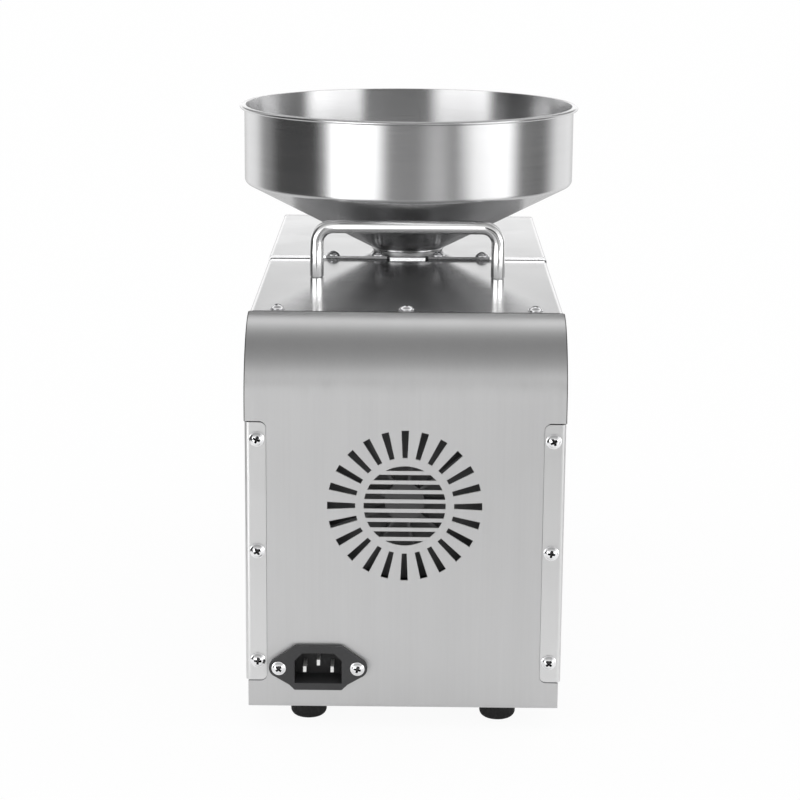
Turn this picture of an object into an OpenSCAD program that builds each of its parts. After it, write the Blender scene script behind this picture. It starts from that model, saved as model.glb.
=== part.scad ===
// Household screw oil press: a stainless steel casing on rubber feet, a lift-off feed hopper,
// a fan-cooled motor, a two-stage gearbox, a press screw in its barrel and an oil tray.
// Millimetres. +X is to the right seen from behind, +Y runs from the rear panel to the outlet, +Z is up.
// Inside the modules Y is counted from the rear panel's outer face, and row() moves it to the middle.

/* [Casing] */
// Width over the covers
body_w = 160.4; // [150:0.1:190]
// Length from the rear face to the front face
body_l = 370; // [362:1:420]
// Height of the rear cover's top above the bench
top_z = 210; // [206:1:240]
// Thickness of the casing sheet
sheet_t = 1; // [0.8:0.1:1.5]
// Radius of the rear panel's curved top
rear_r = 39; // [25:1:44]
// Radius of the front panel's top bend
front_r = 12; // [8:1:20]
// Outer radius of the covers' bends
bend_r = 2.5; // [2:0.5:5]
// Height of the covers' lower edge above the bench
cover_bottom_z = 26; // [22:1:32]
// Distance from the rear face to the seam between the covers
seam_y = 200; // [196:1:203]
// How far the front cover stands above the rear cover
seam_step = 1.6; // [1.2:0.1:4]
// Width of the locating tab at the seam
tongue_w = 21.5; // [12:0.5:26]
// Gap between neighbouring sheets
panel_gap = 0.6; // [0.3:0.1:1]
// How far a curved panel reaches past each cover
panel_overhang = 0.2; // [0:0.1:1.5]
// Width of the covers' screwed flanges
flange_w = 10.7; // [9:0.1:13]
// Height of the flanges' upper end above the bench
flange_top_z = 161; // [156:1:164]
// Corner radius of the flanges
flange_corner_r = 3; // [1:0.5:4]

/* [Base] */
// Height of the rubber feet
foot_h = 12; // [10:1:16]
// Diameter of a foot
foot_d = 18.6; // [14:0.1:22]
// Distance of the feet from the middle plane
foot_x = 49; // [40:1:55]
// Distance of the feet from the front and rear faces
foot_inset = 21; // [13:1:24]
// Rounding of a foot's lower edge
foot_round = 3.5; // [2:0.5:5]
// Thickness of the base tray
base_t = 1.5; // [1:0.1:2.5]
// Height of the base tray's side lips
base_lip_h = 30; // [20:1:40]

/* [Vent] */
// Height of the vent and of the motor's axis above the bench
vent_z = 118.5; // [115:0.5:122]
// Number of radial slots
vent_slots = 24; // [16:2:28]
// Inner radius of the radial slots
vent_slot_in = 24.8; // [24:0.1:28]
// Outer radius of the radial slots
vent_slot_out = 38.9; // [34:0.1:46]
// Slot width at its inner end
vent_slot_w_in = 2.5; // [2:0.1:3]
// Slot width at its outer end
vent_slot_w_out = 3.8; // [2.5:0.1:4.5]
// Radius of the slatted disc
grille_r = 20.6; // [18:0.1:22.5]
// Number of slots across the disc
grille_rows = 9; // [5:2:9]
// Distance between the disc's slots
grille_pitch = 4.9; // [4.4:0.01:5.1]
// Height of a slot in the disc
grille_slot_h = 2.9; // [2:0.1:3.2]

/* [Power inlet] */
// Place of the inlet across the rear panel
inlet_x = -43.3; // [-46:0.1:-38]
// Height of the inlet above the bench
inlet_z = 33.2; // [32:0.1:40]
// Distance between the inlet's two screws
inlet_pitch = 40; // [38:0.1:42]
// Width of the inlet's middle
inlet_mid_w = 24; // [22:0.1:28]
// Height of the inlet's face
inlet_h = 23.2; // [21:0.1:26]
// Radius of the inlet's ears
inlet_ear_r = 5; // [4.2:0.1:6]
// Thickness of the inlet's face plate
inlet_face_t = 2.8; // [2:0.1:4]
// Width of the socket
socket_w = 24; // [23:0.1:25]
// Height of the socket
socket_h = 16; // [15:0.1:17]
// Depth of the socket from the face
socket_d = 15.8; // [14:0.1:18]
// Wall around the socket
socket_wall = 1.6; // [1.2:0.1:2]
// Width of a contact blade
blade_w = 1.6; // [1.5:0.1:2.5]
// Height of a contact blade
blade_h = 3; // [3:0.1:5]
// Distance from the middle blade to an outer blade
blade_pitch = 7; // [6:0.1:7.5]
// How far the middle blade stands above the others
blade_step = 3.6; // [2:0.1:4]

/* [Screws] */
// Head diameter of a casing screw
screw_head_d = 7.8; // [6:0.1:8]
// Head height of a casing screw
screw_head_h = 2.3; // [1.8:0.1:3]
// Shank diameter of a casing screw
screw_d = 4; // [3:0.1:4.5]
// Shank length of a casing screw
screw_l = 7; // [6:0.5:9]
// Head diameter of an inlet screw
inlet_screw_head_d = 7.4; // [5:0.1:7.5]
// Head height of an inlet screw
inlet_screw_head_h = 1.9; // [1.4:0.1:2.6]
// Shank diameter of an inlet screw
inlet_screw_d = 3; // [2.5:0.1:3.5]
// Shank length of an inlet screw
inlet_screw_l = 9; // [8:0.5:12]
// Distance of the flange screws from the covers' sides
flange_screw_inset = 6.2; // [5:0.1:7]
// Height of the lowest flange screws above the bench
flange_screw_z = 36.5; // [32:0.5:42]
// Distance between the flange screws
flange_screw_pitch = 58; // [50:0.5:60]
// Distance of the outer top screws from the covers' sides
top_screw_side = 14.2; // [12:0.1:20]
// Distance of the top screws from the rear panel's top edge
top_screw_inset = 7; // [6:0.5:10]
// Distance of the outer seam screws from the middle plane
seam_screw_x_out = 43; // [36:0.5:50]
// Distance of the inner seam screws from the middle plane
seam_screw_x_in = 17.5; // [16:0.5:24]
// Distance of the seam screws from the seam
seam_screw_inset = 4.2; // [4:0.1:4.6]

/* [Handle] */
// Diameter of the handle's rod
rod_d = 7.5; // [6:0.1:9]
// Distance of the legs from the middle plane
handle_x = 49.9; // [44:0.1:56]
// Distance of the handle from the rear face
handle_y = 140; // [120:1:146]
// Height of the bar's middle above the rear cover
handle_rise = 28; // [24:0.5:29]
// Bend radius of the rod's middle line
handle_bend = 9; // [7:0.5:14]
// Diameter of the threaded ends
handle_stud_d = 5; // [4:0.1:5.5]

/* [Hopper] */
// Distance of the hopper's axis from the rear face
hopper_y = 225; // [223:0.5:228]
// Outer radius of the bowl's wall
bowl_r = 95.2; // [85:0.1:105]
// How far the rolled rim stands out of the wall
rim_lip = 2.6; // [2:0.1:4]
// Radius of the rim's roll
rim_bead = 1; // [0.9:0.1:2]
// Height of the rim above the bench
rim_z = 296.7; // [285:0.1:320]
// Height of the corner between wall and cone above the bench
wall_z = 252.5; // [248:0.1:265]
// Fillet between wall and cone
bowl_fillet = 3; // [2:0.5:10]
// Wall thickness of the hopper
hopper_t = 0.8; // [0.6:0.1:1.2]
// Outer radius of the cone's lower ring
ring_r = 20.5; // [20:0.1:21]
// Height of the lower ring above the bench
ring_z = 215.7; // [215:0.1:220]
// Outer radius of the neck
neck_r = 17; // [15:0.1:17.4]
// Length of the neck below the ring
neck_l = 21; // [12:0.5:26]

/* [Motor] */
// Diameter of the motor
motor_d = 92; // [86:1:96]
// Length of the lamination stack
stack_l = 60; // [50:1:60]
// Length of each end bell
bell_l = 16; // [14:1:18]
// Distance of the motor from the rear face
motor_y = 30; // [28:1:34]
// Diameter of the motor shaft
shaft_d = 10; // [9:0.1:10.5]
// Outer diameter of the shaft bearings
bearing_d = 22; // [20:0.5:26]
// Width of the shaft bearings
bearing_w = 7; // [5:0.5:8]
// Radius of the cooling fan
fan_r = 42; // [30:0.5:44]
// Distance of the fan from the rear face
fan_y = 7; // [6:0.5:11]
// Width of the fan
fan_w = 9; // [8:0.5:15]
// Number of fan blades
fan_blades = 9; // [5:1:11]

/* [Gearbox] */
// Height of the press axis above the motor's axis
press_rise = 32; // [30:0.5:34]
// Module of the first gear pair
m1 = 0.9; // [0.85:0.01:0.92]
// Teeth of the motor pinion
n1 = 14; // [13:1:15]
// Teeth of the lay gear
n2 = 70; // [66:1:71]
// Module of the second gear pair
m2 = 1.25; // [1.2:0.01:1.28]
// Teeth of the lay pinion
n3 = 13; // [13:1:15]
// Teeth of the output gear
n4 = 65; // [62:1:66]
// Face width of the first gear pair
face1 = 10; // [8:0.5:11]
// Face width of the second gear pair
face2 = 16; // [12:0.5:18]
// Wall of the gearbox
gearbox_wall = 4; // [3:0.5:5]
// Diameter of the output shaft's bearings
output_d = 22; // [20:0.5:24]
// Size across the flats of the output shaft's hexagon
output_hex = 18; // [16:0.5:20]
// Size across the flats of the press screw's tail
tail_hex = 12; // [10:0.5:13]

/* [Press] */
// Length of the feed block
feed_l = 52; // [46:1:56]
// Width of the feed block
feed_w = 60; // [52:1:64]
// Outer radius of the feed collar
collar_r = 19.5; // [19.2:0.1:20]
// Radius of the throat's bore
throat_r = 17.5; // [17.2:0.1:18]
// Thickness of the throat's seal
seal_t = 1.5; // [1:0.1:2]
// Outer diameter of the barrel
barrel_d = 44; // [40:0.5:46]
// Bore of the barrel
barrel_bore = 29; // [28:0.5:32]
// How far the barrel's flange stands in front of the front panel
barrel_reach = 14; // [12:0.5:18]
// Thickness of the barrel's flange
barrel_flange_t = 5; // [4:0.5:7]
// Length of the barrel's threaded nose
nose_l = 23; // [18:0.5:26]
// Diameter of the barrel's threaded nose
nose_d = 36; // [34:0.5:38]
// Number of oil slots in the barrel
oil_slots = 9; // [3:2:13]
// Width of an oil slot
oil_slot_w = 1; // [0.6:0.1:1.6]
// Length of an oil slot
oil_slot_l = 34; // [20:1:38]
// Gap between the screw's flight and the bore
flight_gap = 0.5; // [0.3:0.1:1]
// Pitch of the screw's flight
flight_pitch = 24; // [18:1:30]
// Radius of the screw's core
core_r = 9; // [7:0.5:10]
// Outer diameter of the port sleeve
sleeve_d = 58; // [56:0.5:62]
// Outer diameter of the lock ring
ring_d = 74; // [70:0.5:78]
// Width of the lock ring
ring_w = 21; // [20:0.5:24]
// Number of grips around the lock ring
ring_grips = 12; // [6:1:16]
// Outer diameter of the outlet nut
nut_d = 50; // [46:0.5:54]
// Length of the outlet nut
nut_l = 30; // [28:0.5:36]
// Radius of the cake outlet
outlet_r = 10; // [8:0.5:11]
// Width of the heater band
heater_w = 30; // [20:1:34]
// Thickness of the heater band
heater_t = 4.5; // [3:0.5:5]

/* [Oil tray] */
// Width of the tray
tray_w = 100; // [80:1:104]
// Height of the tray's walls
tray_h = 15; // [10:0.5:15]
// Height of the tray's underside above the bench
tray_z = 96; // [95:0.5:97]
// Distance of the tray's rear end from the rear face
tray_y = 258; // [256:1:264]
// How far the spout stands in front of the front panel
spout_l = 36; // [24:1:44]
// Width of the spout's lip
spout_w = 26; // [16:1:40]
// Thickness of the tray's sheet
tray_t = 1; // [0.8:0.1:1.5]

/* [Controls] */
// Width of the control bezel
bezel_w = 130; // [126:1:136]
// Height of the control bezel
bezel_h = 50; // [48:1:52]
// Height of the bezel's middle above the bench
bezel_z = 62; // [60:0.5:63]
// Thickness of the bezel
bezel_t = 2.4; // [2:0.1:4]
// Diameter of a push button
button_d = 12; // [10:0.1:14]
// Travel of a push button
button_travel = 1.2; // [0.8:0.1:1.4]
// Height of the buttons in front of the bezel
button_reach = 2.2; // [1.8:0.1:3]
// Width of the rocker
rocker_w = 14; // [12:0.1:16]
// Height of the rocker
rocker_h = 24; // [20:0.1:26]
// Tilt of the rocker to each side
rocker_tilt = 12; // [8:1:14]
// Width of the display window
window_w = 44; // [36:1:48]
// Height of the display window
window_h = 20; // [14:1:24]

/* [Hidden] */
$fn = 64;
// Running clearance of shafts in their bearings
run_gap = 0.05;
// Clearance between pieces that are fitted together
fit_gap = 0.05;
// Clearance between pieces that slide past each other
slide_gap = 0.5;
// Clearance around a screw's shank
shank_gap = 0.1;

base_top = foot_h + base_t;
base_w = body_w - 2 * sheet_t - 0.4;
front_top = top_z + seam_step;
flange_screw_x = body_w / 2 - flange_screw_inset;
top_screw_x = body_w / 2 - top_screw_side;
motor_z = vent_z;
press_z = motor_z + press_rise;
post_t = 1.5;
// Gap between a flange's inner edge and the end panel
flange_gap = 0.2;
post_outer = base_w / 2 - base_t - fit_gap;
post_leg = 15.5;

// Gear centres: the lay shaft lies where both gear pairs mesh
a1 = m1 * (n1 + n2) / 2;
a2 = m2 * (n3 + n4) / 2;
lay_dz = (press_rise * press_rise + a1 * a1 - a2 * a2) / (2 * press_rise);
lay_x = sqrt(a1 * a1 - lay_dz * lay_dz);
lay_z = motor_z + lay_dz;
mesh1 = atan2(-lay_dz, lay_x);
mesh2 = atan2(lay_dz - press_rise, -lay_x);
pressure_angle = 20;
addendum = 0.8;
dedendum = 1.0;
backlash = 0.1;
lay_d = 10;
lay_hex = 10.4;
pinion_hex = 7;

// Stations along the drive line
motor_front = motor_y + stack_l + 2 * bell_l;
gear1_y = motor_front + gearbox_wall + 4;
gear2_y = gear1_y + face1 + 4;
cover_y = gear2_y + face2 + 4;
cover_front = cover_y + gearbox_wall + 2;
fan_cap = 2;
thrust_w = 6;
thrust_collar_w = 5;
thrust_r = 18;
feed_y = hopper_y - 25;
feed_front = feed_y + feed_l;
output_front = feed_y - 2;
tail_l = 14;
output_hex_r = output_hex / sqrt(3);

// Stations of the barrel in front of the front panel
bulkhead_t = 4;
bulkhead_side = 12;
bulkhead_rim = 14;
bulkhead_y = body_l - 30;
flange_y = body_l + barrel_reach;
nose_y = flange_y + barrel_flange_t;
nose_front = nose_y + nose_l;
ring_front = body_l + 4 + ring_w;
nut_y = ring_front + 3;
nut_front = nut_y + nut_l;
barrel_y = feed_front;
heater_y = bulkhead_y - 8 - heater_w;
spout_front = body_l + spout_l;

// The part's origin lies under the middle of its length
rear_reach = inlet_face_t + inlet_screw_head_h;
front_reach = max(nut_front, spout_front);
mid_y = (front_reach - rear_reach) / 2;

control_y = body_l - 17;
board_t = 1.6;
button_x = [28, 47];
button_z = [bezel_z + 10, bezel_z - 10];
window_x = -6;
rocker_x = -46;
board_x0 = -32;
board_x1 = 59;
rocker_pin_r = 1.6;
rocker_wall = 2;
rocker_reach = 3;

// Route of the wiring loom: from the inlet's tabs down to the base tray and along it to the control board
loom_d = 5;
tab_l = 8;
loom_x = -66;
loom_z = base_top + loom_d / 2 + 0.1;
loom_start = [inlet_x, socket_d - inlet_face_t + socket_wall + tab_l + 0.1, inlet_z - 2];
loom_end = [board_x0 + 5, control_y - 0.1, bezel_z - 15];
loom_route = [
    loom_start, loom_start + [-0.5, 7, 0], loom_start + [-4, 15, -2], loom_start + [-10, 24, -6],
    [-59, 60, loom_z + 5], [loom_x + 2, 74, loom_z + 1], [loom_x, 90, loom_z], [loom_x, 130, loom_z],
    [loom_x, 170, loom_z], [loom_x, 210, loom_z], [loom_x, 250, loom_z], [loom_x, bulkhead_y - 40, loom_z],
    [loom_x + 2, bulkhead_y - 25, loom_z + 2], [loom_x + 9, bulkhead_y - 13, loom_z + 9],
    [-49, bulkhead_y - 4, 34], [-44, bulkhead_y + 1, 40],
    loom_end + [-7, -7, -3], loom_end + [-2, -3, -0.5], loom_end
];

// Placing

// Moves the part so that its origin is under the middle of its length
module row() { translate([0, -mid_y, 0]) children(); }

// Turns a shape so that its own Z runs along +Y, on an axis at x, z, starting at y
module on_axis(x, z, y) { translate([x, y, z]) rotate([-90, 0, 0]) children(); }

// Extrudes a (y, z) outline along X, centred on the middle plane
module across(w) { rotate([90, 0, 90]) linear_extrude(height = w, center = true) children(); }

// Extrudes an (x, z) outline along +Y from y
module forward(y, l) { translate([0, y + l, 0]) rotate([90, 0, 0]) linear_extrude(height = l) children(); }

// Swaps the rear end of the casing for the front end
module at_front() { translate([0, body_l, 0]) mirror([0, 1, 0]) children(); }

module both_sides() { for (s = [0, 1]) mirror([s, 0, 0]) children(); }

// Shapes

module rounded_rect(w, h, r) {
    square([w - 2 * r, h], center = true);
    square([w, h - 2 * r], center = true);
    for (sx = [-1, 1], sy = [-1, 1]) translate([sx * (w / 2 - r), sy * (h / 2 - r)]) circle(r);
}

// A tube from z = 0
module tube(r_out, r_in, l) {
    difference() {
        cylinder(r = r_out, h = l);
        translate([0, 0, -1]) cylinder(r = r_in, h = l + 2);
    }
}

// A hexagonal bar or hole from z = 0, by its size across the flats
module hex(flats, l) { cylinder(r = flats / sqrt(3), h = l, $fn = 6); }

// A domed screw with a cross recess, its head standing on z = 0
module pan_screw(head_d, head_h, d, l) {
    dome_r = (head_d * head_d / 4 + head_h * head_h) / (2 * head_h);
    recess_w = head_d * 0.14;
    recess_l = head_d * 0.56;
    recess_d = head_h * 0.6;
    difference() {
        union() {
            rotate_extrude() intersection() {
                translate([0, head_h - dome_r]) circle(dome_r);
                square([head_d / 2, head_h]);
            }
            translate([0, 0, -l]) cylinder(r = d / 2, h = l);
        }
        for (a = [0, 90]) rotate([0, 0, a])
            translate([-recess_l / 2, -recess_w / 2, head_h - recess_d]) cube([recess_l, recess_w, head_h]);
    }
}

module casing_screw() { pan_screw(screw_head_d, screw_head_h, screw_d, screw_l); }

module casing_screw_hole() {
    translate([0, 0, -screw_l - 1]) cylinder(r = screw_d / 2 + shank_gap, h = screw_l + 2);
}

// Places of the casing's screws, with Z pointing out of the head

module at_flange_screws() {
    for (sx = [-1, 1], k = [0 : 2])
        translate([sx * flange_screw_x, 0, flange_screw_z + k * flange_screw_pitch]) rotate([90, 0, 0])
            children();
}

module at_top_screws() {
    for (k = [-1 : 1]) translate([k * top_screw_x, rear_r + top_screw_inset, top_z]) children();
}

module at_seam_screws() {
    for (sx = [-1, 1], x = [seam_screw_x_in, seam_screw_x_out])
        translate([sx * x, seam_y + seam_screw_inset, front_top]) children();
}

module at_inlet_screws() {
    for (sx = [-1, 1])
        translate([inlet_x + sx * inlet_pitch / 2, -inlet_face_t, inlet_z]) rotate([90, 0, 0]) children();
}

module at_feet() {
    for (sx = [-1, 1], y = [foot_inset, body_l - foot_inset]) translate([sx * foot_x, y, 0]) children();
}

// Gears

function involute(a) = tan(a) * 180 / PI - a;

// Half the angle that a tooth covers at radius r
function tooth_half(m, n, r) =
    let (rp = m * n / 2, rb = rp * cos(pressure_angle), a = r > rb ? acos(rb / r) : 0)
    90 / n - backlash / 2 / rp * 180 / PI + involute(pressure_angle) - involute(a);

function gear_points(m, n, phase) =
    let (
        rp = m * n / 2,
        rb = rp * cos(pressure_angle),
        root = rp - dedendum * m,
        tip = rp + addendum * m,
        start = max(rb, root + 0.02 * m),
        radii = [root, start, (start + tip) / 2, tip]
    )
    [for (i = [0 : n - 1], side = [-1, 1], k = [0 : 3])
        let (r = side < 0 ? radii[k] : radii[3 - k], a = phase + 360 / n * i + side * tooth_half(m, n, r))
        r * [cos(a), sin(a)]];

// A spur gear with a hexagonal bore, from z = 0
module gear(m, n, phase, l, flats, turn) {
    difference() {
        linear_extrude(height = l) polygon(gear_points(m, n, phase));
        translate([0, 0, -1]) rotate([0, 0, turn]) hex(flats + 2 * fit_gap, l + 2);
    }
}

// A round bar swept along a route, as one solid with flat ends

function unit(v) = v / norm(v);
function tangent(p, i) = unit(p[min(i + 1, len(p) - 1)] - p[max(i - 1, 0)]);
function ring_points(p, i, r, sides) =
    let (t = tangent(p, i), u = unit(cross(t, [1, 0, 0.2])), v = cross(t, u))
    [for (k = [0 : sides - 1]) p[i] + r * (cos(360 * k / sides) * u + sin(360 * k / sides) * v)];

module swept_bar(p, d, sides) {
    last = len(p) - 1;
    points = [for (i = [0 : last]) each ring_points(p, i, d / 2, sides)];
    walls = [for (i = [0 : last - 1], k = [0 : sides - 1])
        let (a = i * sides + k, b = i * sides + (k + 1) % sides)
        each [[a, a + sides, b], [b, a + sides, b + sides]]];
    start = [for (k = [1 : sides - 2]) [0, k, k + 1]];
    finish = [for (k = [1 : sides - 2]) [last * sides, last * sides + k + 1, last * sides + k]];
    polyhedron(points = points, faces = concat(walls, start, finish));
}

// Casing sheets

// Side view of a sheet that stands at y = 0 and bends forwards at radius r to the height top
module bent_profile(r, top) {
    translate([0, base_top]) square([sheet_t, top - r - base_top]);
    translate([r, top - r]) intersection() {
        difference() {
            circle(r);
            circle(r - sheet_t);
        }
        translate([-r, 0]) square([r, r]);
    }
}

// Outline of an end panel seen along Y: cut back around the covers' flanges
module end_outline(top) {
    wide = body_w + 2 * panel_overhang;
    notch_h = flange_top_z - cover_bottom_z + 2 * panel_gap;
    notch_in = body_w / 2 - flange_w - flange_gap;
    notch_w = 2 * (wide / 2 - notch_in);
    translate([-base_w / 2, base_top]) square([base_w, cover_bottom_z - panel_gap - base_top]);
    difference() {
        translate([-wide / 2, cover_bottom_z - panel_gap]) square([wide, top - cover_bottom_z + panel_gap]);
        for (sx = [-1, 1])
            translate([sx * (notch_in + notch_w / 2), cover_bottom_z - panel_gap + notch_h / 2])
            rounded_rect(notch_w, notch_h, flange_corner_r + panel_gap);
    }
}

// An end panel with its curved top, and a tongue that carries the cover's top screws
module end_panel(r, top, tongue_l) {
    wide = body_w + 2 * panel_overhang;
    tongue_x = wide - 2 * flange_w;
    tongue_root = sqrt(r * sheet_t);
    corner_r = 2;
    ear_t = 1.2;
    difference() {
        union() {
            intersection() {
                across(wide + 2) bent_profile(r, top);
                forward(-1, r + 2) end_outline(top);
            }
            both_sides() translate([body_w / 2 - bend_r, r - ear_t, top - bend_r + 0.3])
                cube([bend_r + panel_overhang - 0.05, ear_t - 0.05, bend_r - 0.3 - sheet_t / 2]);
        }
        both_sides() translate([wide / 2 - corner_r, r - corner_r, top - r / 2]) difference() {
            cube([corner_r + 1, corner_r + 1, r]);
            translate([0, 0, -1]) cylinder(r = corner_r, h = r + 2);
        }
    }
    translate([-tongue_x / 2, r - tongue_root, top - 2 * sheet_t - fit_gap])
        cube([tongue_x, tongue_root + tongue_l, sheet_t]);
}

// A U-shaped cover: two sides with screwed flanges at y = 0 and a top that starts at the end panel's edge.
// It ends at y = l, and its top goes on for top_more.
module u_cover(l, top, r, top_more) {
    side_top = top - bend_r;
    arc_r = r - sheet_t - panel_gap;
    arc_z = top - r;
    top_start = r + panel_gap;
    both_sides() {
        translate([body_w / 2 - sheet_t / 2, 0, 0]) across(sheet_t) difference() {
            union() {
                translate([bend_r, cover_bottom_z]) square([l - bend_r, flange_top_z - cover_bottom_z]);
                translate([r - arc_r, flange_top_z + panel_gap])
                    square([l - r + arc_r, side_top - flange_top_z - panel_gap]);
                translate([bend_r, flange_top_z]) square([l - bend_r, panel_gap]);
            }
            difference() {
                translate([-1, arc_z]) square([r + 1, r]);
                translate([r, arc_z]) circle(arc_r);
            }
        }
        translate([body_w / 2 - bend_r, bend_r, cover_bottom_z]) difference() {
            intersection() {
                tube(bend_r, bend_r - sheet_t, flange_top_z - cover_bottom_z);
                translate([0, -bend_r, 0]) cube([bend_r, bend_r, flange_top_z]);
            }
        }
        flange(l);
        translate([body_w / 2 - bend_r, top_start, side_top]) rotate([-90, 0, 0]) intersection() {
            tube(bend_r, bend_r - sheet_t, l - top_start);
            translate([0, -bend_r, 0]) cube([bend_r, bend_r, l]);
        }
    }
    translate([bend_r - body_w / 2, top_start, top - sheet_t])
        cube([body_w - 2 * bend_r, l - top_start, sheet_t]);
    translate([bend_r - body_w / 2 + sheet_t, l - 1, top - sheet_t])
        cube([body_w - 2 * bend_r - 2 * sheet_t, 1 + top_more, sheet_t]);
}

// One screwed flange, folded inwards at y = 0, with rounded inner corners
module flange(l) {
    h = flange_top_z - cover_bottom_z;
    w = flange_w - bend_r;
    forward(0, sheet_t) translate([body_w / 2 - bend_r, cover_bottom_z + h / 2]) {
        translate([-w + flange_corner_r, -h / 2]) square([w - flange_corner_r, h]);
        translate([-w, -h / 2 + flange_corner_r]) square([w, h - 2 * flange_corner_r]);
        for (sz = [-1, 1]) translate([-w + flange_corner_r, sz * (h / 2 - flange_corner_r)])
            circle(flange_corner_r);
    }
}

module base_tray() {
    color("silver") difference() {
        union() {
            translate([-base_w / 2, 0, foot_h]) cube([base_w, body_l, base_t]);
            both_sides() translate([base_w / 2 - base_t, 4, foot_h]) cube([base_t, body_l - 8, base_lip_h]);
        }
        at_feet() translate([0, 0, foot_h - 1]) cylinder(r = foot_screw_d / 2 + shank_gap, h = base_t + 2);
    }
}

module vent_cut() {
    translate([0, vent_z]) {
        for (i = [0 : vent_slots - 1]) rotate(360 / vent_slots * i) polygon([
            [vent_slot_in, -vent_slot_w_in / 2], [vent_slot_out, -vent_slot_w_out / 2],
            [vent_slot_out, vent_slot_w_out / 2], [vent_slot_in, vent_slot_w_in / 2]
        ]);
        intersection() {
            circle(grille_r);
            for (k = [0 : grille_rows - 1]) translate([0, (k - (grille_rows - 1) / 2) * grille_pitch])
                square([2 * grille_r, grille_slot_h], center = true);
        }
    }
}

module rear_panel() {
    color("silver") difference() {
        end_panel(rear_r, top_z, top_screw_inset + screw_head_d);
        forward(-1, sheet_t + 2) {
            vent_cut();
            translate([inlet_x, inlet_z])
                square([socket_w + 2 * socket_wall, socket_h + 2 * socket_wall] + [0.4, 0.4], center = true);
            for (sx = [-1, 1]) translate([inlet_x + sx * inlet_pitch / 2, inlet_z])
                circle(inlet_screw_d / 2 + shank_gap);
        }
        at_top_screws() casing_screw_hole();
    }
}

module rear_cover() {
    lap = seam_screw_inset + screw_d;
    color("gainsboro") difference() {
        union() {
            u_cover(seam_y - 0.2, top_z, rear_r, lap);
            translate([-tongue_w / 2, seam_y - 0.2 - sheet_t, top_z - sheet_t / 2])
                cube([tongue_w, sheet_t, seam_step + sheet_t / 2 - 0.1]);
        }
        at_flange_screws() casing_screw_hole();
        at_top_screws() casing_screw_hole();
        at_seam_screws() casing_screw_hole();
        both_sides() translate([handle_x, handle_y, top_z - 2 * sheet_t])
            cylinder(r = handle_stud_d / 2 + shank_gap, h = 4 * sheet_t);
        translate([0, hopper_y, top_z - 5]) cylinder(r = collar_r + 1, h = 10);
    }
}

module front_cover() {
    lip_gap = 0.2;
    color("gainsboro") difference() {
        union() {
            at_front() u_cover(body_l - seam_y - 0.2, front_top, front_r, 0);
            translate([bend_r - body_w / 2, seam_y, top_z + lip_gap])
                cube([body_w - 2 * bend_r, sheet_t, seam_step - lip_gap]);
            both_sides() on_axis(body_w / 2 - bend_r, front_top - bend_r, seam_y) difference() {
                intersection() {
                    cylinder(r = bend_r - 0.05, h = sheet_t);
                    translate([-0.5, -bend_r, 0]) cube([bend_r, bend_r, sheet_t]);
                }
                translate([0, seam_step, -1]) cylinder(r = bend_r + lip_gap, h = sheet_t + 2);
            }
        }
        at_front() at_flange_screws() casing_screw_hole();
        at_seam_screws() casing_screw_hole();
        translate([0, hopper_y, top_z]) cylinder(r = collar_r + panel_gap, h = 10);
    }
}

module front_panel() {
    slot_h = tray_h + 3;
    color("silver") difference() {
        at_front() end_panel(front_r, front_top, top_screw_inset);
        both_sides() forward(body_l - front_r - 1, front_r + 2)
            translate([body_w / 2 - bend_r, front_top - bend_r]) difference() {
                square(bend_r + 2);
                circle(bend_r);
            }
        on_axis(0, press_z, bulkhead_y) cylinder(r = sleeve_d / 2 + panel_gap, h = 60);
        forward(body_l - 5, 10) {
            translate([0, tray_z + tray_h / 2]) square([tray_w + 5, slot_h], center = true);
            translate([0, bezel_z]) square([bezel_w - 10, bezel_h - 8], center = true);
            for (sx = [-1, 1], sz = [-1, 1])
                translate([sx * (bezel_w / 2 - 2.5), bezel_z + sz * (bezel_h / 2 - 8)]) circle(1.3);
        }
    }
}

// L-shaped posts that the flange screws bite into
module corner_posts() {
    module post() {
        translate([post_outer - post_leg, sheet_t + fit_gap, base_top])
            cube([post_leg, post_t, flange_top_z - base_top]);
        translate([post_outer - post_t, sheet_t + fit_gap, base_top])
            cube([post_t, post_leg, flange_top_z - base_top]);
    }
    color("lightgray") {
        difference() {
            both_sides() post();
            at_flange_screws() casing_screw_hole();
            at_inlet_screws()
                cylinder(r = inlet_screw_d / 2 + shank_gap, h = 4 * inlet_screw_l, center = true);
        }
        at_front() difference() {
            both_sides() post();
            at_flange_screws() casing_screw_hole();
        }
    }
}

module cover_screws() {
    color("white") {
        at_flange_screws() casing_screw();
        at_front() at_flange_screws() casing_screw();
        at_top_screws() casing_screw();
        at_seam_screws() casing_screw();
    }
}

foot_screw_d = 4;
foot_screw_l = 8;

module rubber_feet() {
    r = foot_d / 2;
    color("black") at_feet() difference() {
        rotate_extrude() {
            translate([0, foot_round]) square([r, foot_h - foot_round]);
            square([r - foot_round, foot_h]);
            translate([r - foot_round, foot_round]) circle(foot_round);
        }
        translate([0, 0, foot_h - foot_screw_l])
            cylinder(r = foot_screw_d / 2 + shank_gap, h = foot_screw_l + 1);
    }
}

module foot_screws() {
    color("lightgray") at_feet() translate([0, 0, base_top])
        pan_screw(screw_head_d, screw_head_h, foot_screw_d, foot_screw_l);
}

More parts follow.
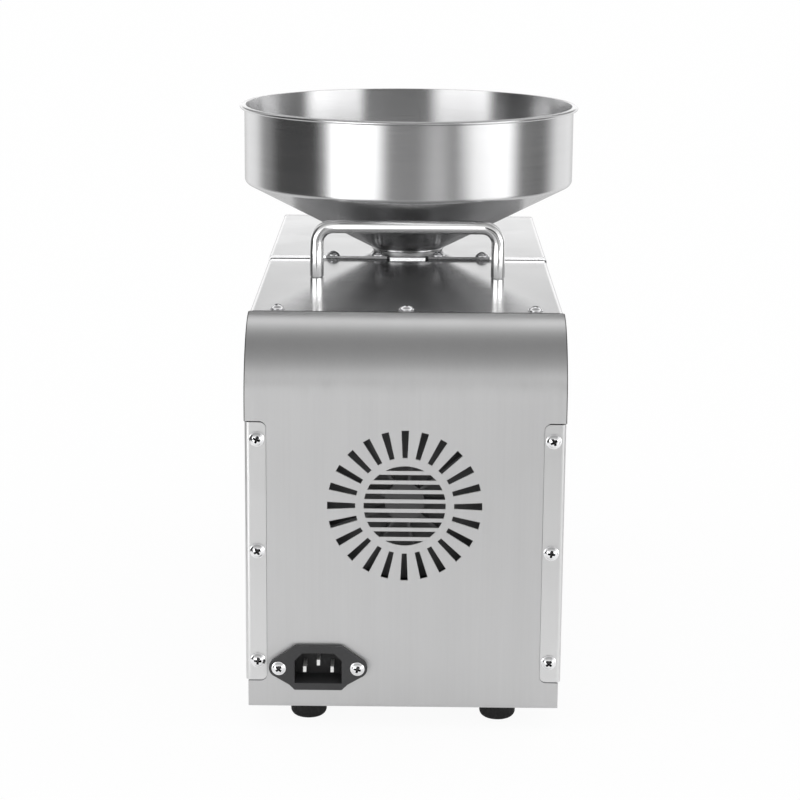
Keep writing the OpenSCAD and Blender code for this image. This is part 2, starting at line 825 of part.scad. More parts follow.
module carry_handle() {
    bar_z = top_z + handle_rise;
    leg_l = handle_rise - handle_bend;
    stud_l = 9;
    chamfer = 0.5;
    color("lightgray") translate([0, handle_y, 0]) {
        both_sides() {
            translate([handle_x, 0, top_z - stud_l]) cylinder(r = handle_stud_d / 2, h = stud_l);
            translate([handle_x, 0, top_z])
                cylinder(r1 = rod_d / 2 - chamfer, r2 = rod_d / 2, h = chamfer);
            translate([handle_x, 0, top_z + chamfer]) cylinder(r = rod_d / 2, h = leg_l - chamfer);
            translate([handle_x - handle_bend, 0, bar_z - handle_bend]) rotate([90, 0, 0])
                rotate_extrude(angle = 90) translate([handle_bend, 0]) circle(rod_d / 2);
        }
        translate([handle_bend - handle_x, 0, bar_z]) rotate([0, 90, 0])
            cylinder(r = rod_d / 2, h = 2 * (handle_x - handle_bend));
    }
}

module handle_nuts() {
    nut_h = 4;
    washer_h = 1.2;
    bore = handle_stud_d / 2 + fit_gap;
    color("lightgray") both_sides() translate([handle_x, handle_y, top_z - sheet_t - washer_h - nut_h]) {
        difference() {
            union() {
                hex(8, nut_h);
                translate([0, 0, nut_h]) cylinder(r = 6, h = washer_h);
            }
            translate([0, 0, -1]) cylinder(r = bore, h = nut_h + washer_h + 2);
        }
    }
}

// Power inlet

module inlet_face() {
    half_h = inlet_h / 2;
    half_w = inlet_mid_w / 2;
    shoulder = 2.8;
    ear = inlet_pitch / 2;
    lean = asin((half_h - inlet_ear_r) / norm([ear - half_w, half_h - inlet_ear_r]));
    tip = inlet_ear_r * [sin(lean), cos(lean)];
    polygon([
        [-half_w, half_h], [-ear - tip[0], tip[1]], [-ear - tip[0], -tip[1]],
        [-half_w - shoulder, -half_h + shoulder], [-half_w, -half_h],
        [half_w, -half_h], [half_w + shoulder, -half_h + shoulder],
        [ear + tip[0], -tip[1]], [ear + tip[0], tip[1]], [half_w, half_h]
    ]);
    for (sx = [-1, 1]) translate([sx * ear, 0]) circle(inlet_ear_r);
}

// The socket's outline has its two upper corners cut off
module socket_outline(more) {
    w = socket_w / 2 + more;
    h = socket_h / 2 + more;
    cut = 4;
    polygon([[-w, -h], [w, -h], [w, h - cut], [w - cut, h], [cut - w, h], [-w, h - cut]]);
}

module power_inlet() {
    color("black") translate([inlet_x, 0, inlet_z]) difference() {
        union() {
            forward(-inlet_face_t, inlet_face_t) inlet_face();
            forward(-1, socket_d - inlet_face_t + 1 + socket_wall) socket_outline(socket_wall);
        }
        forward(-inlet_face_t - 1, socket_d + 1) socket_outline(0);
        for (sx = [-1, 1]) on_axis(sx * inlet_pitch / 2, 0, -inlet_face_t - 1)
            cylinder(r = inlet_screw_d / 2 + shank_gap, h = inlet_face_t + 2);
    }
}

module inlet_pins() {
    socket_back = socket_d - inlet_face_t;
    blade_l = 11.5;
    blade_low = -2;
    color("white") translate([inlet_x, 0, inlet_z]) for (k = [-1 : 1]) {
        z = blade_low + (k == 0 ? blade_step : 0);
        translate([k * blade_pitch - blade_w / 2, socket_back - blade_l, z - blade_h / 2])
            cube([blade_w, blade_l, blade_h]);
        translate([k * blade_pitch - blade_w / 2, socket_back + socket_wall, z - blade_h / 2])
            cube([blade_w, tab_l, blade_h]);
    }
}

module inlet_screws() {
    color("white") at_inlet_screws()
        pan_screw(inlet_screw_head_d, inlet_screw_head_h, inlet_screw_d, inlet_screw_l);
}

// Motor

bell_wall = 3;
rotor_r = 27;
air_gap = 0.5;
tie_bolt_d = 4;
tie_boss_r = tie_bolt_d / 2 + 2.5;
tie_bolt_r = motor_d / 2 - 6;

module at_tie_bolts() { for (a = [45 : 90 : 315]) rotate([0, 0, a]) translate([tie_bolt_r, 0, 0])
    children(); }

module motor_stator() {
    stator_slots = 18;
    color("gray") on_axis(0, motor_z, motor_y + bell_l) difference() {
        tube(motor_d / 2, rotor_r + air_gap, stack_l);
        for (i = [0 : stator_slots - 1]) rotate([0, 0, 360 / stator_slots * (i + 0.5)])
            translate([rotor_r + air_gap + 2, -1.5, -1]) cube([7, 3, stack_l + 2]);
        at_tie_bolts() translate([0, 0, -1]) cylinder(r = tie_bolt_d / 2 + shank_gap, h = stack_l + 2);
    }
}

module motor_windings() {
    winding_l = 9;
    winding_r = tie_bolt_r - tie_boss_r - 0.5;
    color("chocolate") for (y = [motor_y + bell_l - winding_l, motor_y + bell_l + stack_l])
        on_axis(0, motor_z, y) tube(winding_r, rotor_r + 2, winding_l);
}

// An end bell whose open side is at z = 0, with a bearing seat in its closed side
module bell() {
    windows = 6;
    seat_r = bearing_d / 2 + fit_gap;
    boss_r = seat_r + 3;
    difference() {
        union() {
            difference() {
                cylinder(r = motor_d / 2, h = bell_l);
                translate([0, 0, -1]) cylinder(r = motor_d / 2 - bell_wall, h = bell_l - bell_wall + 1);
            }
            translate([0, 0, bell_l - bearing_w - 1]) cylinder(r = boss_r, h = bearing_w + 1);
            at_tie_bolts() cylinder(r = tie_boss_r, h = bell_l);
        }
        translate([0, 0, bell_l - bearing_w - 2]) cylinder(r = seat_r, h = bearing_w + 1);
        cylinder(r = shaft_d / 2 + 1, h = bell_l + 1);
        at_tie_bolts() translate([0, 0, -1]) cylinder(r = tie_bolt_d / 2 + shank_gap, h = bell_l + 2);
        for (i = [0 : windows - 1]) rotate([0, 0, 360 / windows * (i + 0.25)])
            translate([boss_r + 4, -5, bell_l - bell_wall - 1])
                cube([motor_d / 2 - boss_r - 14, 10, bell_wall + 2]);
    }
}

module motor_rear_bell() { color("silver") on_axis(0, motor_z, motor_y + bell_l) mirror([0, 0, 1]) bell(); }
module motor_front_bell() { color("silver") on_axis(0, motor_z, motor_y + bell_l + stack_l) bell(); }

module motor_bearings() {
    color("lightgray") for (y = [motor_y + 1, motor_front - 1 - bearing_w]) on_axis(0, motor_z, y)
        tube(bearing_d / 2, shaft_d / 2 + run_gap, bearing_w);
}

module motor_tie_bolts() {
    color("dimgray") on_axis(0, motor_z, motor_y - 3) at_tie_bolts() {
        hex(7, 3);
        cylinder(r = tie_bolt_d / 2, h = stack_l + 2 * bell_l + 3);
    }
}

// Two saddle plates on a foot that carry the motor
module motor_cradle() {
    cradle_w = 76;
    plate_t = 4;
    foot_t = 2;
    saddle_z = motor_z - motor_d / 4;
    first = motor_y + bell_l + 6;
    last = motor_y + bell_l + stack_l - 6 - plate_t;
    color("dimgray") difference() {
        union() {
            translate([-cradle_w / 2, first, base_top]) cube([cradle_w, last - first + plate_t, foot_t]);
            for (y = [first, last]) translate([-cradle_w / 2, y, base_top])
                cube([cradle_w, plate_t, saddle_z - base_top]);
        }
        on_axis(0, motor_z, motor_y) cylinder(r = motor_d / 2 + fit_gap, h = stack_l + 2 * bell_l);
    }
}

module motor_shaft() {
    shaft_y = fan_y + fan_cap + 0.3;
    color("lightgray") {
        on_axis(0, motor_z, shaft_y) cylinder(r = shaft_d / 2, h = gear1_y - 1 - shaft_y);
        on_axis(0, motor_z, gear1_y - 1) hex(pinion_hex, face1 + 1);
    }
}

module rotor_core() {
    bars = 20;
    color("slategray") on_axis(0, motor_z, motor_y + bell_l) difference() {
        tube(rotor_r, shaft_d / 2 + fit_gap, stack_l);
        for (i = [0 : bars - 1]) rotate([0, 0, 360 / bars * i]) translate([rotor_r - 1.2, -0.5, -1])
            cube([3, 1, stack_l + 2]);
    }
}

module cooling_fan() {
    hub_r = shaft_d / 2 + 5;
    blade_t = 1.6;
    disc_t = 1.6;
    color("black") on_axis(0, motor_z, fan_y) difference() {
        union() {
            cylinder(r = hub_r, h = fan_w);
            translate([0, 0, fan_w - disc_t]) cylinder(r = fan_r, h = disc_t);
            for (i = [0 : fan_blades - 1]) rotate([0, 0, 360 / fan_blades * i])
                translate([hub_r - 1, -blade_t / 2, 0]) cube([fan_r - hub_r, blade_t, fan_w - disc_t / 2]);
        }
        translate([0, 0, fan_cap]) cylinder(r = shaft_d / 2 + fit_gap, h = fan_w);
    }
}

module motor_pinion() { color("gray") on_axis(0, motor_z, gear1_y)
    gear(m1, n1, mesh1, face1, pinion_hex, 0); }

// Gearbox

box_left = -(m2 * n4 / 2 + addendum * m2 + 2);
lay_tip_x = lay_x + m1 * n2 / 2 + addendum * m1;
box_room = body_w / 2 - sheet_t - 1 - lay_tip_x;
box_right = lay_tip_x + min(2, box_room / 3);
right_wall = min(gearbox_wall, box_room * 2 / 3);
box_low = motor_z - m1 * n2 / 2 - addendum * m1 - 2 + lay_dz;
box_high = press_z + m2 * n4 / 2 + addendum * m2 + 2;
bush_wall = 3;
bush_l = 5;

// The right wall is thinner where the casing leaves it less room
module box_outline(more) {
    right_more = more * right_wall / gearbox_wall;
    translate([(box_left + box_right + right_more - more) / 2, (box_low + box_high) / 2])
        rounded_rect(box_right - box_left + more + right_more, box_high - box_low + 2 * more, 6 + more);
}

gearbox_screw_d = 4;
gearbox_screw_l = 22;

module at_gearbox_screws() {
    for (x = [box_left, box_right], z = [box_low, box_high])
        translate([x + (x < 0 ? 1 : -1) * 2, 0, z + (z < press_z ? 1 : -1) * 2]) children();
}

// The gear case is open to the front, and its two legs stand on the base tray
module gearbox_housing() {
    leg_w = 14;
    leg_l = 30;
    boss_r = 5;
    depth = cover_y - motor_front;
    color("darkgray") difference() {
        union() {
            difference() {
                forward(motor_front, depth) box_outline(gearbox_wall);
                difference() {
                    forward(motor_front + gearbox_wall, depth) box_outline(0);
                    at_gearbox_screws() on_axis(0, 0, motor_front) cylinder(r = boss_r, h = depth);
                }
            }
            for (x = [box_left + 4, box_right - leg_w - 4])
                translate([x, motor_front, base_top]) cube([leg_w, leg_l, box_low - base_top]);
            on_axis(lay_x, lay_z, motor_front + 1)
                cylinder(r = lay_d / 2 + bush_wall + 2, h = gearbox_wall + 2);
            on_axis(0, press_z, motor_front + 1) cylinder(r = output_d / 2 - 2, h = gearbox_wall + 1);
        }
        on_axis(0, motor_z, motor_front - 1)
            cylinder(r = m1 * n1 / 2 + addendum * m1 + 2, h = gearbox_wall + 2);
        on_axis(lay_x, lay_z, motor_front + 2)
            cylinder(r = lay_d / 2 + bush_wall + fit_gap, h = gearbox_wall + 4);
        on_axis(0, press_z, motor_front + 2)
            cylinder(r = pilot_r + bush_wall + fit_gap, h = gearbox_wall + 4);
        at_gearbox_screws() on_axis(0, 0, motor_front + 8)
            cylinder(r = gearbox_screw_d / 2 + shank_gap, h = depth);
    }
}

module gearbox_cover() {
    color("darkgray") difference() {
        forward(cover_y, cover_front - cover_y) box_outline(gearbox_wall);
        on_axis(lay_x, lay_z, cover_y - 1) cylinder(r = lay_d / 2 + bush_wall + fit_gap, h = bush_l + 1);
        on_axis(0, press_z, cover_y - 1) cylinder(r = output_d / 2 + bush_wall + fit_gap, h = cover_front);
        at_gearbox_screws() on_axis(0, 0, cover_y - 1)
            cylinder(r = gearbox_screw_d / 2 + shank_gap, h = cover_front);
    }
}

pilot_r = 6;

module gearbox_bushes() {
    color("goldenrod") {
        on_axis(lay_x, lay_z, motor_front + 2)
            tube(lay_d / 2 + bush_wall, lay_d / 2 + run_gap, gearbox_wall + 1);
        on_axis(lay_x, lay_z, cover_y) tube(lay_d / 2 + bush_wall, lay_d / 2 + run_gap, bush_l);
        on_axis(0, press_z, motor_front + 2) tube(pilot_r + bush_wall, pilot_r + run_gap, gearbox_wall);
        on_axis(0, press_z, cover_y)
            tube(output_d / 2 + bush_wall, output_d / 2 + run_gap, cover_front - cover_y);
    }
}

module gearbox_screws() {
    color("lightgray") at_gearbox_screws() on_axis(0, 0, cover_front)
        pan_screw(screw_head_d, screw_head_h, gearbox_screw_d, gearbox_screw_l);
}

module lay_shaft() {
    rear = motor_front + 2;
    color("lightgray") on_axis(lay_x, lay_z, 0) {
        translate([0, 0, rear]) cylinder(r = lay_d / 2, h = gear1_y - rear + 1);
        translate([0, 0, gear1_y]) rotate([0, 0, mesh2]) hex(lay_hex, gear2_y + face2 - gear1_y);
        translate([0, 0, gear2_y + face2 - 1])
            cylinder(r = lay_d / 2, h = cover_y + bush_l - gear2_y - face2 + 1);
    }
}

module lay_gear() {
    color("gray") on_axis(lay_x, lay_z, gear1_y)
        gear(m1, n2, mesh1 + 180 + 180 / n2, face1, lay_hex, mesh2);
}

module lay_pinion() { color("dimgray") on_axis(lay_x, lay_z, gear2_y)
    gear(m2, n3, mesh2, face2, lay_hex, mesh2); }

module output_gear() {
    color("gray") on_axis(0, press_z, gear2_y) gear(m2, n4, mesh2 + 180 + 180 / n4, face2, output_hex, 0);
}

module output_shaft() {
    pilot_rear = motor_front + 2;
    collar_y = cover_front + thrust_w + fit_gap;
    color("lightgray") on_axis(0, press_z, 0) difference() {
        union() {
            translate([0, 0, pilot_rear]) cylinder(r = pilot_r, h = gear2_y - pilot_rear);
            translate([0, 0, gear2_y]) hex(output_hex, face2);
            translate([0, 0, gear2_y + face2])
                cylinder(r = output_d / 2, h = output_front - gear2_y - face2);
            translate([0, 0, collar_y]) cylinder(r = thrust_r - 1, h = thrust_collar_w);
        }
        translate([0, 0, output_front - tail_l]) hex(tail_hex + 2 * fit_gap, tail_l + 1);
    }
}

module thrust_bearing() {
    color("lightgray") on_axis(0, press_z, cover_front) tube(thrust_r, output_d / 2 + run_gap, thrust_w);
}

// Press

journal_l = 5;
flight_y = feed_y + 2 + journal_l;
flight_end = nose_y - 6;
cone_l = nut_front - 4 - flight_end;
flight_r = barrel_bore / 2 - flight_gap;

module press_screw() {
    flight_l = flight_end - flight_y;
    turns = flight_l / flight_pitch;
    flight_t = 5;
    journal_r = barrel_bore / 2 - run_gap;
    color("lightgray") on_axis(0, press_z, 0) {
        translate([0, 0, output_front - tail_l + fit_gap]) hex(tail_hex, tail_l + 4);
        translate([0, 0, feed_y + 1]) cylinder(r = journal_r, h = journal_l + 1);
        translate([0, 0, flight_y])
            linear_extrude(height = flight_l, twist = -360 * turns, slices = ceil(11 * turns), $fn = 12) {
            circle(core_r);
            intersection() {
                circle(flight_r);
                translate([0, -flight_t / 2]) square([flight_r + 1, flight_t]);
            }
        }
        translate([0, 0, flight_end]) cylinder(r1 = core_r, r2 = outlet_r - 3, h = cone_l);
    }
}

collar_top = ring_z - seal_t - fit_gap;
feed_h_low = press_z - barrel_bore / 2 - 12;
feed_top = top_z - sheet_t - 8;

module feed_block() {
    color("silver") difference() {
        union() {
            translate([-feed_w / 2, feed_y, feed_h_low]) cube([feed_w, feed_l, feed_top - feed_h_low]);
            translate([0, hopper_y, feed_top - 1]) cylinder(r = collar_r, h = collar_top - feed_top + 1);
        }
        on_axis(0, press_z, feed_y - 1) cylinder(r = barrel_bore / 2, h = feed_l + 2);
        translate([0, hopper_y, press_z]) cylinder(r = throat_r, h = collar_top);
        on_axis(0, press_z, feed_front - seat_d) cylinder(r = barrel_d / 2 + fit_gap, h = seat_d + 1);
    }
}

seat_d = 6;

module throat_seal() {
    color("white") translate([0, hopper_y, collar_top]) tube(collar_r - 0.4, throat_r, seal_t);
}

// The stand carries the feed block on the base tray
module press_stand() {
    stand_w = 44;
    foot_t = 3;
    web_t = 6;
    stand_l = 34;
    y0 = feed_y + (feed_l - stand_l) / 2;
    color("dimgray") {
        translate([-stand_w / 2, y0, base_top]) cube([stand_w, stand_l, foot_t]);
        translate([-stand_w / 2, y0 + stand_l / 2 - web_t / 2, base_top])
            cube([stand_w, web_t, feed_h_low - base_top]);
        translate([-web_t / 2, y0, base_top]) cube([web_t, stand_l, feed_h_low - base_top]);
        translate([-stand_w / 2, y0, feed_h_low - foot_t]) cube([stand_w, stand_l, foot_t]);
    }
}

module press_barrel() {
    slot_y = barrel_y + 8;
    color("silver") on_axis(0, press_z, 0) difference() {
        union() {
            translate([0, 0, barrel_y - seat_d + fit_gap])
                cylinder(r = barrel_d / 2, h = nose_y - barrel_y + seat_d - 1);
            translate([0, 0, flange_y]) cylinder(r = sleeve_d / 2, h = barrel_flange_t);
            translate([0, 0, flange_y]) cylinder(r = nose_d / 2, h = barrel_flange_t + nose_l);
        }
        translate([0, 0, barrel_y - seat_d - 1]) cylinder(r = barrel_bore / 2, h = nose_front);
        for (i = [0 : oil_slots - 1]) rotate([0, 0, 90 + (i - (oil_slots - 1) / 2) * 14])
            translate([0, -oil_slot_w / 2, slot_y]) cube([barrel_d, oil_slot_w, oil_slot_l]);
    }
}

// A plate across the casing that carries the port sleeve and the tray's rails
module front_bulkhead() {
    plate_w = tray_w + 2 * bulkhead_side;
    plate_top = press_z + sleeve_d / 2 + bulkhead_rim;
    foot_l = 24;
    foot_t = 3;
    loom_gate_x = -28;
    loom_gate_w = 12;
    loom_gate_h = 42;
    color("lightgray") difference() {
        union() {
            translate([-plate_w / 2, bulkhead_y, base_top])
                cube([plate_w, bulkhead_t, plate_top - base_top]);
            translate([-plate_w / 2, bulkhead_y - foot_l, base_top]) cube([plate_w, foot_l, foot_t]);
        }
        on_axis(0, press_z, bulkhead_y - 1) cylinder(r = sleeve_d / 2 + fit_gap, h = bulkhead_t + 2);
        translate([-tray_w / 2 - 2, bulkhead_y - 1, tray_z - 1.5])
            cube([tray_w + 4, bulkhead_t + 2, tray_h + 4]);
        translate([-plate_w / 2 - 1, bulkhead_y - foot_l - 1, base_top + foot_t])
            cube([plate_w / 2 + 1 + loom_gate_x, foot_l + bulkhead_t + 2, loom_gate_h]);
        translate([-plate_w / 2 - 1, bulkhead_y - foot_l - 1, base_top - 1])
            cube([plate_w / 2 + 1 + loom_x + loom_gate_w, foot_l + bulkhead_t + 2, loom_gate_h]);
    }
}

module port_sleeve() {
    stop_t = 3;
    color("lightgray") on_axis(0, press_z, bulkhead_y - stop_t) difference() {
        union() {
            cylinder(r = sleeve_d / 2 + 3, h = stop_t);
            cylinder(r = sleeve_d / 2, h = flange_y - bulkhead_y + stop_t - fit_gap);
        }
        translate([0, 0, -1]) cylinder(r = barrel_d / 2 + 0.2, h = flange_y);
    }
}

module lock_ring() {
    lip_y = nose_y + 0.3;
    grip_r = 4;
    color("gainsboro") on_axis(0, press_z, 0) difference() {
        translate([0, 0, body_l + 4]) cylinder(r = ring_d / 2, h = ring_w);
        translate([0, 0, body_l + 3]) cylinder(r = sleeve_d / 2 + 0.3, h = lip_y - body_l - 3);
        translate([0, 0, body_l]) cylinder(r = nose_d / 2 + 2, h = ring_w + 10);
        for (i = [0 : ring_grips - 1]) rotate([0, 0, 360 / ring_grips * (i + 0.5)])
            translate([ring_d / 2 + 1.5, 0, body_l + 3]) cylinder(r = grip_r, h = ring_w + 2);
    }
}

module heater_band() {
    lug_w = 16;
    lug_h = 12;
    color("goldenrod") on_axis(0, press_z, heater_y) difference() {
        union() {
            cylinder(r = barrel_d / 2 + heater_t, h = heater_w);
            translate([-lug_w / 2, -barrel_d / 2 - lug_h, 4]) cube([lug_w, lug_h, heater_w - 8]);
        }
        translate([0, 0, -1]) cylinder(r = barrel_d / 2 + fit_gap, h = heater_w + 2);
        translate([-1.5, -barrel_d, -1]) cube([3, barrel_d, heater_w + 2]);
    }
}

module temperature_probe() {
    probe_r = 2.5;
    color("white") on_axis(0, press_z, heater_y + heater_w / 2) rotate([0, 90, 0])
        translate([0, 0, barrel_d / 2 + heater_t + fit_gap]) {
            cylinder(r = 5, h = 2);
            cylinder(r = probe_r, h = 14);
        }
}

module outlet_nut() {
    bar_l = 13;
    bar_r = 4;
    bars = 4;
    thread_l = nose_front - nut_y + 1;
    color("gainsboro") on_axis(0, press_z, nut_y) difference() {
        union() {
            cylinder(r = nut_d / 2, h = nut_l - 3);
            translate([0, 0, nut_l - 3]) cylinder(r1 = nut_d / 2, r2 = nut_d / 2 - 3, h = 3);
            for (i = [0 : bars - 1]) rotate([0, 0, 360 / bars * i + 45])
                translate([nut_d / 2 - 3, 0, 12]) rotate([0, 90, 0])
                cylinder(r = bar_r, h = bar_l + 3);
        }
        translate([0, 0, -1]) cylinder(r = nose_d / 2 + 0.3, h = thread_l + 1);
        cylinder(r = outlet_r + 0.5, h = nut_l + 1);
    }
}

// Oil tray

// Outline of the tray's floor, drawn in by inset
module tray_outline(inset) {
    w = tray_w / 2 - inset;
    s = spout_w / 2 - inset;
    straight = body_l + 4;
    polygon([
        [-w, tray_y + inset], [w, tray_y + inset], [w, straight],
        [s, spout_front], [-s, spout_front], [-w, straight]
    ]);
}

module oil_tray() {
    color("gainsboro") difference() {
        translate([0, 0, tray_z]) linear_extrude(height = tray_h) tray_outline(0);
        translate([0, 0, tray_z + tray_t]) linear_extrude(height = tray_h) {
            tray_outline(tray_t);
            translate([-spout_w / 2 + tray_t, spout_front - 2]) square([spout_w - 2 * tray_t, 4]);
        }
    }
}

module oil_strainer() {
    w = tray_w - 2 * tray_t - 0.4;
    h = tray_h - tray_t - 2;
    holes = 16;
    rows = 3;
    color("lightgray") translate([0, body_l - 14, tray_z + tray_t]) difference() {
        translate([-w / 2, 0, 0]) cube([w, 1, h]);
        for (i = [0 : holes - 1], k = [0 : rows - 1])
            on_axis((i - (holes - 1) / 2) * w / (holes + 1), (k + 1) * h / (rows + 1), -1)
                cylinder(r = 1.2, h = 3);
    }
}

module tray_rails() {
    rail_t = 1.5;
    rail_w = 6;
    rail_h = 8;
    tab_t = 2;
    side_gap = 0.4;
    l = bulkhead_y - tray_y - 4;
    color("lightgray") both_sides() translate([tray_w / 2, bulkhead_y - l, tray_z - 0.1]) {
        translate([-rail_w + 1, 0, -rail_t]) cube([rail_w, l, rail_t]);
        translate([side_gap, 0, -rail_t]) cube([rail_t, l, rail_h]);
        translate([side_gap, l - tab_t, -rail_t]) cube([bulkhead_side - 1, tab_t, rail_h]);
    }
}

// Hopper

rim_r = bowl_r + rim_lip;
cone_slope = atan((wall_z - ring_z) / (bowl_r - ring_r));
fillet_turn = 90 - cone_slope;
fillet_z = wall_z + bowl_fillet * tan(fillet_turn / 2);

ring_inset = (1 / cos(cone_slope) - 1) / tan(cone_slope);
arc_steps = 8;

// Fillet between wall and cone at a distance inside the bowl's outer face
function fillet_line(inside) = [for (k = [0 : arc_steps])
    let (a = fillet_turn * k / arc_steps)
    [bowl_r - bowl_fillet, fillet_z] + (bowl_fillet - inside) * [cos(a), -sin(a)]];

// The rim's roll, from its top to its underside
function rim_line() = [for (k = [0 : arc_steps])
    let (a = 90 - 180 * k / arc_steps)
    [rim_r - rim_bead, rim_z - rim_bead] + rim_bead * [cos(a), sin(a)]];

function reversed(p) = [for (i = [len(p) - 1 : -1 : 0]) p[i]];

module hopper() {
    neck_low = ring_z - neck_l;
    section = concat(
        [[bowl_r - hopper_t, rim_z]],
        rim_line(),
        [[bowl_r, rim_z - 2 * rim_bead]],
        fillet_line(0),
        [[ring_r, ring_z], [neck_r, ring_z], [neck_r, neck_low], [neck_r - hopper_t, neck_low]],
        [[neck_r - hopper_t, ring_z + hopper_t], [ring_r - hopper_t * ring_inset, ring_z + hopper_t]],
        reversed(fillet_line(hopper_t))
    );
    color("gainsboro") translate([0, hopper_y, 0]) rotate_extrude() polygon(section);
}

// Controls

module at_buttons() { for (x = button_x, z = button_z) translate([x, 0, z]) children(); }

rocker_y = body_l + bezel_t - 3;
rocker_hole_w = rocker_w + 2 * slide_gap;
rocker_hole_h = rocker_h + 2 * slide_gap;

module control_bezel() {
    clip = 5;
    frame_l = 6;
    color("black") difference() {
        union() {
            forward(body_l, bezel_t) translate([0, bezel_z]) rounded_rect(bezel_w, bezel_h, 4);
            difference() {
                forward(body_l - clip, clip + 1) translate([0, bezel_z])
                    square([bezel_w - 11, bezel_h - 9], center = true);
                forward(body_l - clip - 1, clip + 1) translate([0, bezel_z])
                    square([bezel_w - 14, bezel_h - 12], center = true);
            }
            forward(body_l - frame_l, frame_l + 1) translate([rocker_x, bezel_z])
                square([rocker_hole_w + 2 * rocker_wall, rocker_hole_h + 2 * rocker_wall], center = true);
        }
        forward(body_l - frame_l - 1, frame_l + bezel_t + 2) {
            translate([window_x, bezel_z]) square([window_w, window_h], center = true);
            translate([rocker_x, bezel_z]) square([rocker_hole_w, rocker_hole_h], center = true);
            at_buttons_flat() circle(button_d / 2 + 0.3);
        }
        translate([rocker_x, rocker_y, bezel_z]) rotate([0, 90, 0])
            cylinder(r = rocker_pin_r + run_gap, h = rocker_hole_w + 4 * rocker_wall, center = true);
    }
}

module at_buttons_flat() { for (x = button_x, z = button_z) translate([x, z]) children(); }

module display_window() {
    color("darkslategray") forward(body_l - 1, bezel_t + 0.6) translate([window_x, bezel_z])
        square([window_w - 2 * fit_gap, window_h - 2 * fit_gap], center = true);
}

module push_button(x, z) {
    cap_l = bezel_t + button_reach;
    stem_back = control_y + board_t + switch_h + button_travel + 0.1;
    color("lightgray") on_axis(x, z, 0) {
        translate([0, 0, body_l - 0.5]) cylinder(r = button_d / 2, h = cap_l - 0.3);
        translate([0, 0, body_l + cap_l - 0.8])
            cylinder(r1 = button_d / 2, r2 = button_d / 2 - 0.8, h = 0.8);
        translate([0, 0, body_l - 1.3]) cylinder(r = button_d / 2 + 1.2, h = 1.2);
        translate([0, 0, stem_back]) cylinder(r = 2.5, h = body_l - 0.5 - stem_back);
    }
}

switch_h = 6;

module direction_rocker() {
    pin_l = rocker_hole_w + 1.5 * rocker_wall;
    color("black") translate([rocker_x, rocker_y, bezel_z]) {
        intersection() {
            translate([-rocker_w / 2, -9, -rocker_h / 2]) cube([rocker_w, 9 + 3 + rocker_reach, rocker_h]);
            rotate([0, 90, 0]) translate([0, 0, -rocker_w / 2]) cylinder(r = rocker_h / 2, h = rocker_w);
        }
        rotate([0, 90, 0]) cylinder(r = rocker_pin_r, h = pin_l, center = true);
    }
}

module control_board() {
    board_h = 36;
    post_l = body_l - fit_gap - control_y - board_t;
    color("darkgreen") {
        translate([board_x0, control_y, bezel_z - board_h / 2])
            cube([board_x1 - board_x0, board_t, board_h]);
        at_buttons() translate([-3, control_y + board_t - 0.5, -3]) cube([6, switch_h + 0.5, 6]);
        translate([window_x - window_w / 2, control_y + board_t - 0.5, bezel_z - window_h / 2])
            cube([window_w, 9, window_h]);
        for (x = [board_x0 + 2.5, board_x1 - 3], z = [-1, 1])
            on_axis(x, bezel_z + z * (board_h / 2 - 2.5), control_y + board_t - 0.5)
                cylinder(r = 2, h = post_l + 0.5);
    }
}

module wiring_loom() { color("black") swept_bar(loom_route, loom_d, 8); }

row() base_tray();
row() rear_panel();
row() rear_cover();
row() front_cover();
row() front_panel();
row() corner_posts();
row() carry_handle();
row() handle_nuts();
row() rubber_feet();
row() foot_screws();
row() cover_screws();
row() power_inlet();
row() inlet_pins();
row() inlet_screws();
row() motor_stator();
row() motor_windings();
row() motor_rear_bell();
row() motor_front_bell();
row() motor_bearings();
row() motor_cradle();
row() motor_tie_bolts();
row() motor_shaft();
row() rotor_core();
row() cooling_fan();
row() motor_pinion();
row() gearbox_housing();
row() gearbox_cover();
row() gearbox_bushes();
row() gearbox_screws();
row() lay_shaft();
row() lay_gear();
row() lay_pinion();
row() output_gear();
row() output_shaft();
row() thrust_bearing();
row() press_screw();
row() feed_block();
row() press_stand();
row() press_barrel();
row() front_bulkhead();
row() port_sleeve();
row() lock_ring();
row() heater_band();
row() temperature_probe();
row() outlet_nut();
row() oil_tray();
row() oil_strainer();
row() tray_rails();
row() hopper();
row() throat_seal();
row() control_bezel();
row() display_window();
row() direction_rocker();
row() push_button(button_x[0], button_z[0]);  // heat_button
row() push_button(button_x[1], button_z[0]);  // warmer_button
row() push_button(button_x[1], button_z[1]);  // cooler_button
row() push_button(button_x[0], button_z[1]);  // light_button
row() control_board();
row() wiring_loom();
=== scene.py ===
import math

import bmesh
import bpy
from mathutils import Matrix, Vector


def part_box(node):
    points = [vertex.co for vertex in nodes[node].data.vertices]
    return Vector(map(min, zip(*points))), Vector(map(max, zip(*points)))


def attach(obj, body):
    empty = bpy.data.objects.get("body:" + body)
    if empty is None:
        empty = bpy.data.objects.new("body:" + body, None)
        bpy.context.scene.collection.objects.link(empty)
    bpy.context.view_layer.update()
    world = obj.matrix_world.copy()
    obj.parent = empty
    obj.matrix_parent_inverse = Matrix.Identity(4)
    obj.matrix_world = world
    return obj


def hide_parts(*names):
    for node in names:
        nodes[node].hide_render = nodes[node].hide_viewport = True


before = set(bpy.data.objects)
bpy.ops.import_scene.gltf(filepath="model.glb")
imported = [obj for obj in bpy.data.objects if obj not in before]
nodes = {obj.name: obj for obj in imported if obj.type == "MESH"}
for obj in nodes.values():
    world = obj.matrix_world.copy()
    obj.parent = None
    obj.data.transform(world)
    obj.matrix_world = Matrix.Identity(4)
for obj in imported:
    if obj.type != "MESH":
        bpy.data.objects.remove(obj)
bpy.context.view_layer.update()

# Household screw oil press seen from behind. Sizes are in metres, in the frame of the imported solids.

